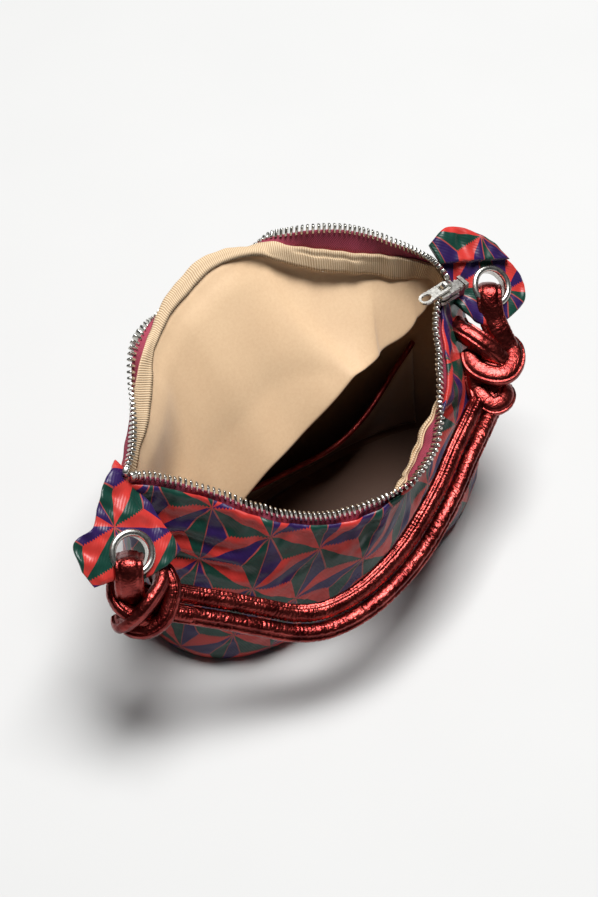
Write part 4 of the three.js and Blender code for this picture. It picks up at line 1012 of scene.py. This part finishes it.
def make_teeth(name, wall):
    """Teeth along a rim. The first is wide: it is the stop."""
    count = int((wall.rim_length - 2 * CHAIN_END) / TOOTH_PITCH)
    first = (wall.rim_length - (count - 1) * TOOTH_PITCH) / 2
    u = (first + np.arange(count) * TOOTH_PITCH) / wall.rim_length
    s = np.ones((count, 1))
    root = sheet(wall, u, s, CHAIN_DEPTH + 0 * s)[:, 0]
    under = sheet(wall, u, s - ROOT_STEP, CHAIN_DEPTH + 0 * s)[:, 0]
    up, along = unit(root - under), unit(np.gradient(root, axis=0))
    across = unit(np.cross(along, up))
    shape = tooth_points()
    wide = np.where(np.arange(count) == 0, STOP_WIDTH / TOOTH_WIDTH, 1)[:, None, None]
    points = root[:, None] + along[:, None] * shape[:, :1] * wide
    points = points + up[:, None] * shape[:, 1:2] + across[:, None] * shape[:, 2:]
    faces = [f for i in range(count) for f in tube_faces(len(TOOTH_RINGS), TOOTH_SIDES, i * len(shape))]
    made = add_mesh(name, points.reshape(-1, 3), faces, nickel)
    print(name, "has", count, "teeth")
    return made


front_teeth = make_teeth("front_teeth", front_wall)
back_teeth = make_teeth("back_teeth", back_wall)

# %% [markdown]
# ## Wings and eyelets
# At each end a folded tab of jacquard carries a nickel eyelet. Seen flat it is a rounded flap on a neck;
# on the bag the neck twists into the side seam. A flat flap bent over would be quicker, but would miss the
# outline. So the cloth is a grid between an upper and a lower edge, puffed between its two layers, and the
# eyelet's hole is cut out of both.

# %% Places on the wings
LEFT_EYELET, RIGHT_EYELET = np.array([-117, -23.7, 100]), np.array([117, -4.2, 108.4])
LEFT_SLOPE, RIGHT_SLOPE = math.radians(40), math.radians(37)


def slopes(angle):
    """Downhill and facing directions of a wing."""
    return np.array([0, -math.cos(angle), -math.sin(angle)]), np.array([0, -math.sin(angle), math.cos(angle)])


def flap(eyelet, angle, outwards, out, drop, lift):
    """A point of a wing from its distances beyond, below and in front of the eyelet."""
    down, face = slopes(angle)
    return eyelet + np.array([outwards * out, 0, 0]) + down * drop + face * lift


def left(out, drop, lift=0.0):
    return flap(LEFT_EYELET, LEFT_SLOPE, -1, out, drop, lift)


def right(out, drop, lift=0.0):
    return flap(RIGHT_EYELET, RIGHT_SLOPE, 1, out, drop, lift)


print("eyelets are", round(np.linalg.norm(RIGHT_EYELET - LEFT_EYELET)), "mm apart")

# %% Wing cloth
WING_COLUMNS, WING_ROWS = 110, 64
EYELET_HOLE, EYELET_OUTER, EYELET_WALL = 15.4, 22, 0.8
SLIDER_END, SLIDER_LINE, SLIDER_ROOM = (108, 101), 2, 5
PUFF_STEEPNESS, PUFF_TIP = 9, 1.2
# Height, wavelength and seed.
WING_WRINKLES = [(0.9, 16, 31), (0.4, 7, 32)]
FLAT_ROUND_EYELET = 6
HOOD_EDGE, HOOD_FADE = 0.6, 5
WING_EDGE, WING_PUFF = 0.5, 0.9


def make_wing(eyelet, angle, outwards, top, low, hood, dip):
    """Two grids of a wing, their lengths on the cloth, and their distances from the eyelet."""
    down, _ = slopes(angle)
    upper_edge, lower_edge = even(spline(top), WING_COLUMNS), even(spline(low), WING_COLUMNS)
    reach, rise = np.linspace(0, 1, WING_COLUMNS)[:, None], np.linspace(0, 1, WING_ROWS)[None]
    middle = upper_edge[:, None] * (1 - rise[..., None]) + lower_edge[:, None] * rise[..., None]
    # The cloth dips to let the slider pass over it.
    beside = ramp(np.abs(middle[..., 0]), *SLIDER_END) * hump(middle[..., 1], SLIDER_LINE, SLIDER_ROOM)
    middle[..., 2] -= dip * beside
    along, across = np.gradient(middle, axis=0), np.gradient(middle, axis=1)
    normal = unit(np.cross(along, across)) * -outwards
    out, drop = outwards * (middle[..., 0] - eyelet[0]), (middle - eyelet) @ down
    far = np.sqrt(out**2 + drop**2)
    inwards = np.minimum(np.minimum(rise, 1 - rise), PUFF_TIP * (1 - reach))
    puff = np.clip(inwards * PUFF_STEEPNESS, 0, 1) ** 0.5
    wrinkle = sum(size * waves(out, drop, wavelength, seed) for size, wavelength, seed in WING_WRINKLES)
    wrinkle = (wrinkle * np.clip((far - EYELET_OUTER / 2) / FLAT_ROUND_EYELET, 0, 1))[..., None]
    # The hood is a fold above a slanting line, which droops over the line and stands off the cloth.
    start, slant, droop, lift = hood
    above = start + slant * out - drop
    raised = ramp(above, -HOOD_EDGE, HOOD_EDGE)
    middle = middle + down * (droop * raised * np.exp(-np.maximum(above, 0) / HOOD_FADE))[..., None]
    middle = middle + normal * (lift * raised)[..., None]
    thick = (WING_EDGE + WING_PUFF * puff)[..., None]
    marks = np.stack([out, -drop], axis=-1)
    return middle + normal * (wrinkle + thick), middle + normal * (wrinkle - thick), marks, far


print("a wing's grid has", WING_COLUMNS * WING_ROWS, "points")

# %% Holes for the eyelets
HOLE_ROOM = 1.5


def cut_hole(columns, rows, far, radius):
    """Faces of a wing's shell without those inside the eyelet, and with the hole's wall."""
    size = columns * rows
    inside = far.reshape(-1) < radius
    faces = [face for face in shell_faces(columns, rows) if not all(inside[v % size] for v in face)]
    hole = set()
    for i in range(columns - 1):
        for j in range(rows - 1):
            quad = [i * rows + j, (i + 1) * rows + j, (i + 1) * rows + j + 1, i * rows + j + 1]
            if all(inside[v] for v in quad):
                hole.update((quad[k], quad[(k + 1) % 4]) for k in range(4))
    walls = [(a, b) for a, b in hole if (b, a) not in hole]
    faces += [(a, b, size + b, size + a) for a, b in walls]
    return faces


def add_wing(name, eyelet, angle, outwards, top, low, star, hood, dip=0.0):
    """A wing with a star of its pattern at a place on it, and a fold that hangs over the eyelet."""
    front, behind, marks, far = make_wing(eyelet, angle, outwards, top, low, hood, dip)
    marks = marks - np.array([star[0], -star[1]])
    points = np.vstack([front.reshape(-1, 3), behind.reshape(-1, 3)])
    faces = cut_hole(*far.shape, far, EYELET_HOLE / 2 + EYELET_WALL + HOLE_ROOM)
    used = sorted({v for f in faces for v in f})
    index = {v: i for i, v in enumerate(used)}
    uv = np.vstack([marks.reshape(-1, 2)] * 2)[used]
    made = add_mesh(name, points[used], [tuple(index[v] for v in f) for f in faces], jacquard, uv)
    print(name, "has", len(made.data.polygons), "faces")
    return made


print("holes leave", HOLE_ROOM, "mm round the eyelets' barrels")

# %% Two wings
# A line far above the wing, so that nothing is folded.
NO_HOOD = (-60, 0, 0, 0)
left_wing = add_wing(
    "left_jacquard_wing", LEFT_EYELET, LEFT_SLOPE, -1,
    [(-99, 12, 119), left(-6.2, -34.4), left(3.3, -25.4, 0.5), left(9.2, -19.2, 1), left(20.9, -16.8, 0.5),
     left(24.2, -4.3)],
    [left(-21.4, 10.6, -1), left(-15.2, 12.5), left(-5.1, 13.3), left(2, 12.5), left(12.3, 7),
     left(22.2, 4.8)],
    star=(1.3, -14.3), hood=NO_HOOD,
)
right_wing = add_wing(
    "right_jacquard_wing", RIGHT_EYELET, RIGHT_SLOPE, 1,
    [right(-20.4, -33.8), right(-8.5, -37, 1), right(4.4, -28.5, 1), right(11, -19, 1), right(15.5, -8, 1),
     right(18.5, 3)],
    [right(-20.6, 4), right(-16.5, 12), right(-12, 17), right(-5.9, 18.5), right(5.6, 17.3),
     right(13.7, 14.4), right(18.3, 7)],
    star=(6.6, -24.8), hood=(-15.5, 0.42, 2.5, 4), dip=4.5,
)

# %% Eyelets
WING, EYELET_FLANGE, RING_SIDES = 3, 0.9, 72
CROWN_STEPS, CROWN = 11, 1.5
WASHER_OUTSIDE, WASHER_INSIDE = 0.5, 0.8
FLANGE_FOOT, WASHER_FOOT = WING / 2 + GAP, -WING / 2 - GAP


def make_ring(name, eyelet, angle, profile, material):
    """A ring turned about an eyelet's axis from a closed profile of radius and height pairs."""
    _, face = slopes(angle)
    side = np.cross(face, [1, 0, 0])
    turn = angles(RING_SIDES)
    spoke = np.cos(turn)[:, None] * np.array([1, 0, 0]) + np.sin(turn)[:, None] * side
    points = [eyelet + spoke * radius + face * height for radius, height in profile]
    count = len(profile)
    faces = []
    for j in range(count):
        for i in range(RING_SIDES):
            a, b = j * RING_SIDES, (j + 1) % count * RING_SIDES
            k = (i + 1) % RING_SIDES
            faces.append((a + i, b + i, b + k, a + k))
    return add_mesh(name, np.vstack(points), faces, material)


inner_radius, outer_radius = EYELET_HOLE / 2, EYELET_OUTER / 2
bore, middle = inner_radius + EYELET_WALL, (inner_radius + outer_radius) / 2
crown = [
    (middle + np.cos(v) * (outer_radius - inner_radius) / 2, FLANGE_FOOT + np.sin(v) * CROWN * EYELET_FLANGE)
    for v in np.linspace(0, np.pi, CROWN_STEPS)
]
barrel = [(inner_radius, -WING), (bore, -WING), (bore, FLANGE_FOOT)]
washer = [(bore + GAP, WASHER_FOOT), (outer_radius, WASHER_FOOT),
          (outer_radius, WASHER_FOOT - WASHER_OUTSIDE), (bore + GAP, WASHER_FOOT - WASHER_INSIDE)]
rings = {}
for side, eyelet, angle in (("left", LEFT_EYELET, LEFT_SLOPE), ("right", RIGHT_EYELET, RIGHT_SLOPE)):
    rings[f"{side}_eyelet"] = make_ring(f"{side}_eyelet_ring", eyelet, angle, crown + barrel, nickel)
    rings[f"{side}_eyelet_washer"] = make_ring(f"{side}_washer_ring", eyelet, angle, washer, nickel)
print("rings:", ", ".join(rings))

# %% [markdown]
# ## Knots
# Each end of the strap is doubled, pushed through its eyelet and tied. A real knot could be simulated, but
# these are drawn as they are seen: every turn is a flattened tube through a few points, given as lengths to
# the right, upwards and towards the eye from the place where the strands leave. At the left, two short
# stubs carry the strands on into the knot.

# %% Turns of a knot
KNOT_STEPS, KNOT_SIDES, KNOT_SEED = 90, 48, 40
END_ROUND, END_LEAST = 0.06, 0.05
KNOT_CREASE = 0.03
# Share, closeness along, part of the width round the turn, and wavelength.
KNOT_CREASES = [(1, 1.5, 4, 5), (0.6, 2, 3, 2.4)]
# Height, place across the turn and width of the groove and the lip along a seam.
SEAM_GROOVE, SEAM_LIP = (0.3, 0.7, 0.09), (0.25, 0.88, 0.1)


def seen_from(start, points):
    """Points from lengths to the right, upwards and towards the camera."""
    points = np.asarray(points, float)
    return start + points[:, :1] * view_right + points[:, 1:2] * view_up + points[:, 2:] * view_back


def knot_turn(line, width, thickness, seed):
    """Points of one flattened, crinkled turn of the strand."""
    line = even(spline(line), KNOT_STEPS)
    tangent = unit(np.gradient(line, axis=0))
    side = unit(np.cross(tangent[0], view_back))
    across = []
    for step in tangent:
        side = unit(side - step * (side @ step))
        across.append(side)
    across = np.array(across)
    front = np.cross(across, tangent)
    turn = angles(KNOT_SIDES)
    along, around = lengths(line)[:, None], turn[None] * width
    t = np.linspace(0, 1, KNOT_STEPS)[:, None]
    ends = np.sqrt(np.clip(np.minimum(t, 1 - t) / END_ROUND, END_LEAST, 1))
    crease = sum(
        share * waves(along * stretch, around / part, size, seed + k)
        for k, (share, stretch, part, size) in enumerate(KNOT_CREASES)
    )
    bulk = ends * (1 - KNOT_CREASE * np.abs(crease))
    edge = np.abs(np.cos(turn))[None]
    (depth, groove_at, groove_width), (height, lip_at, lip_width) = SEAM_GROOVE, SEAM_LIP
    lip = 1 - depth * hump(edge, groove_at, groove_width) + height * hump(edge, lip_at, lip_width)
    sections = [np.cos(turn) * width / 2 * bulk, np.sin(turn) * thickness / 2 * bulk * lip]
    return rings_on(line, across, front, np.stack(sections, axis=-1)).reshape(-1, 3)


def make_knot(name, turns):
    """One mesh of all the turns of a knot."""
    points = [knot_turn(*turn, KNOT_SEED + 2 * k) for k, turn in enumerate(turns)]
    size = KNOT_STEPS * KNOT_SIDES
    faces = [face for k in range(len(turns)) for face in tube_faces(KNOT_STEPS, KNOT_SIDES, k * size)]
    made = add_mesh(name, np.vstack(points), faces, leather)
    print(name, "has", len(turns), "turns")
    return made


print("the strap leaves its knots at", STRAP_ROUTE[0], "and", STRAP_ROUTE[-1])

# %% Two knots
STUB_PLACES, STUB_AIM = [-2, 3, 8, 13], 12
left_exit, right_exit = np.array(STRAP_ROUTE[0]), np.array(STRAP_ROUTE[-1])
# The points of each turn, its width and its thickness.
left_turns = [
    ([(-26.5, 24, 10), (-26.5, 22, 17), (-26.3, 20, 22), (-26, 14, 22), (-26, 8, 18), (-25.5, 4, 12),
      (-22, 2, 6)], 13.5, 5.5),
    ([(-24, 14, 0), (-31, 11, 3), (-32, 5, 8), (-29, 0, 11), (-24, -3, 10), (-18, -5, 4)], 13, 7),
    ([(-30, -3, 2), (-28.5, -7.5, 8), (-23, -4, 13), (-17, 3, 13), (-13, 10, 9), (-14, 15, 3), (-19, 13, -3)],
     13.5, 7.5),
    ([(-15, 17, 0), (-11.3, 15, 4), (-8.5, 9, 6), (-9, 2, 7), (-12.2, -5.4, 8), (-19, -10, 8), (-26, -9.5, 6),
      (-29, -5, 2)], 10, 7),
    ([(-5, 1, 0), (-10, 0, 0), (-18, 0, 0), (-26, 4, 0)], 17, 12),
]
right_turns = [
    ([(0.5, 58, -8), (0.5, 57, 1), (0.3, 55, 5), (0.5, 48, 6), (2, 41, 5), (5, 34, 5), (8.5, 27, 3),
      (10, 22, -3)], 13.5, 5.5),
    ([(-15, 40, -2), (-14, 36, 4), (-8.6, 32, 7), (-1, 26.5, 8), (6, 21, 5), (9, 17, 0)], 11, 10),
    ([(-9, 27, 2), (-7, 18, 6), (0, 13.5, 9), (7.5, 13.5, 9), (12, 18.5, 6), (12.8, 26, 1), (9, 30.5, -4),
      (3, 29, -7)], 12, 6.5),
    ([(-5, 10, 2), (-3, 2, 6), (2, -2, 7), (6.5, -0.5, 6), (9, 4, 2), (7, 9, -3)], 11.5, 6.5),
    ([(-9, 24, -2), (-8, 16, 2), (-6.5, 8, 3), (-4, 1, 2), (0, -4, 0)], 11, 8),
    ([(-1, -1, 0), (2, 8, 0), (3, 18, 0), (3, 30, 0)], 17, 12),
]


def stub(line):
    """The last stretch of a strand, from its end into the left knot."""
    return line[0] + np.outer(STUB_PLACES, unit(line[0] - line[STUB_AIM]))


left_turns, right_turns = (
    [(seen_from(start, line), width, thickness) for line, width, thickness in turns]
    for start, turns in ((left_exit, left_turns), (right_exit, right_turns))
)
stubs = [(stub(line), STRAND, STRAND) for line in (inner_line, outer_line)]
left_knot = make_knot("left_leather_knot", left_turns + stubs)
right_knot = make_knot("right_leather_knot", right_turns)

# %% [markdown]
# ## Slider, stops and tails
# These small rigid solids are right as they are, so they aren't made again. A narrow bevel gives their edges
# the light that a stamped and plated part catches, and they take the nickel or the tape's cloth.

# %% Small parts that stay
BEVEL, BEVEL_STEPS = 0.25, 3
METAL_NODES = ["zip_slider", "zip_pull", "closed_zip_chain", "bottom_stop"]
for name in METAL_NODES + ["right_tape_tail"]:
    node = frame["nodes"][name]
    node.data.materials.clear()
    node.data.materials.append(nickel if name in METAL_NODES else zip_cloth)
    bevel = node.modifiers.new("edges", "BEVEL")
    bevel.width = BEVEL * MM
    bevel.segments = BEVEL_STEPS
    bevel.limit_method = "ANGLE"
print("kept solids:", len(METAL_NODES) + 1)

# %% [markdown]
# ## What each piece stands for
# Every piece but the wings rides on the body of the solid that it replaces, so a pose of the solids moves the
# dressed bag too. A wing that rode on its tab alone would tear from the seam. So each wing stays where it is
# drawn, and only its solid is hidden.

# %% Rides and replacements
STANDS_FOR = {
    "front_panel": front_panel, "back_panel": back_panel, "base_panel": base_panel,
    "front_lining": front_lining, "back_lining": back_lining, "base_lining": base_lining,
    "pocket_panel": pocket_panel, "pocket_piping": piping,
    "front_zip_teeth": front_teeth, "back_zip_teeth": back_teeth,
    "front_top_stop": front_teeth, "back_top_stop": back_teeth, "left_tape_tail": ribbons["back_zip_tape"],
    "left_knot": left_knot, "right_knot": right_knot,
    "strap_inner_strand": inner_strand, "strap_outer_strand": outer_strand,
    **ribbons, **rings,
}
bodies = frame["record"]["behaviour"]["bodies"]
body_of_node = {node: body for body, nodes in bodies.items() for node in nodes}
for node, piece in STANDS_FOR.items():
    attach(piece, body_of_node[node])
    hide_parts(node)
for node, piece, x in (("left_wing", left_wing, -1), ("right_wing", right_wing, 1)):
    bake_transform(piece)
    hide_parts(node)
print("pieces that stand for solids:", len(STANDS_FOR) + 2)

# %% Cords
print("cords:", [round(lengths(line)[-1]) for line in (inner_line, outer_line)], "mm")

# %% [markdown]
# ## Floor and light
# The bag stands on a plain pale floor under one broad soft light from above and behind, with a little light
# from the room. A bright room would be easier to light, but the foil needs something dark to reflect.

# %% Floor
# Matt paint: an even pale ground that takes a soft shadow.
FLOOR_SIZE, SPECK = 4000, 90
floor_paint, tree, shader = new_material("pale_floor_paint")
place = add(tree, "TexCoord", []).outputs["Object"]
speck = add(tree, "TexNoise", {"Vector": place, "Scale": 1 / (SPECK * MM), "Detail": 2})
tint = add(tree, "ValToRGB", [speck], stops=[(0, "#cacac9"), (1, "#cdcdcc")])
connect(shader, {"Base Color": tint, "Roughness": 0.7})
half = FLOOR_SIZE / 2
corners = [(-half, -half, 0), (half, -half, 0), (half, half, 0), (-half, half, 0)]
floor = add_mesh("floor", corners, [(0, 1, 2, 3)], floor_paint)
print("floor is", FLOOR_SIZE, "mm wide")

# %% Light
KEY_PLACE, KEY_AIM = Vector((420, 200, 2600)) * MM, Vector((0, 0, 60)) * MM
KEY_SIZE, KEY_POWER = 1300 * MM, 112
ROOM_COLOUR, ROOM_STRENGTH = "#d8dade", 0.05
key_light = bpy.data.objects.new("key_light", bpy.data.lights.new("key_light", "AREA"))
bpy.context.scene.collection.objects.link(key_light)
key_light.location = KEY_PLACE
key_light.rotation_euler = (KEY_PLACE - KEY_AIM).to_track_quat("Z", "Y").to_euler()
key_light.data.size = KEY_SIZE
key_light.data.energy = KEY_POWER
world = bpy.data.worlds.new("room")
bpy.context.scene.world = world
world.use_nodes = True
connect(world.node_tree.nodes["Background"], {"Color": linear(ROOM_COLOUR), "Strength": ROOM_STRENGTH})
bpy.context.scene.view_settings.view_transform = "Standard"
print("key light gives", KEY_POWER, "W from", round((KEY_PLACE - KEY_AIM).length, 2), "m")
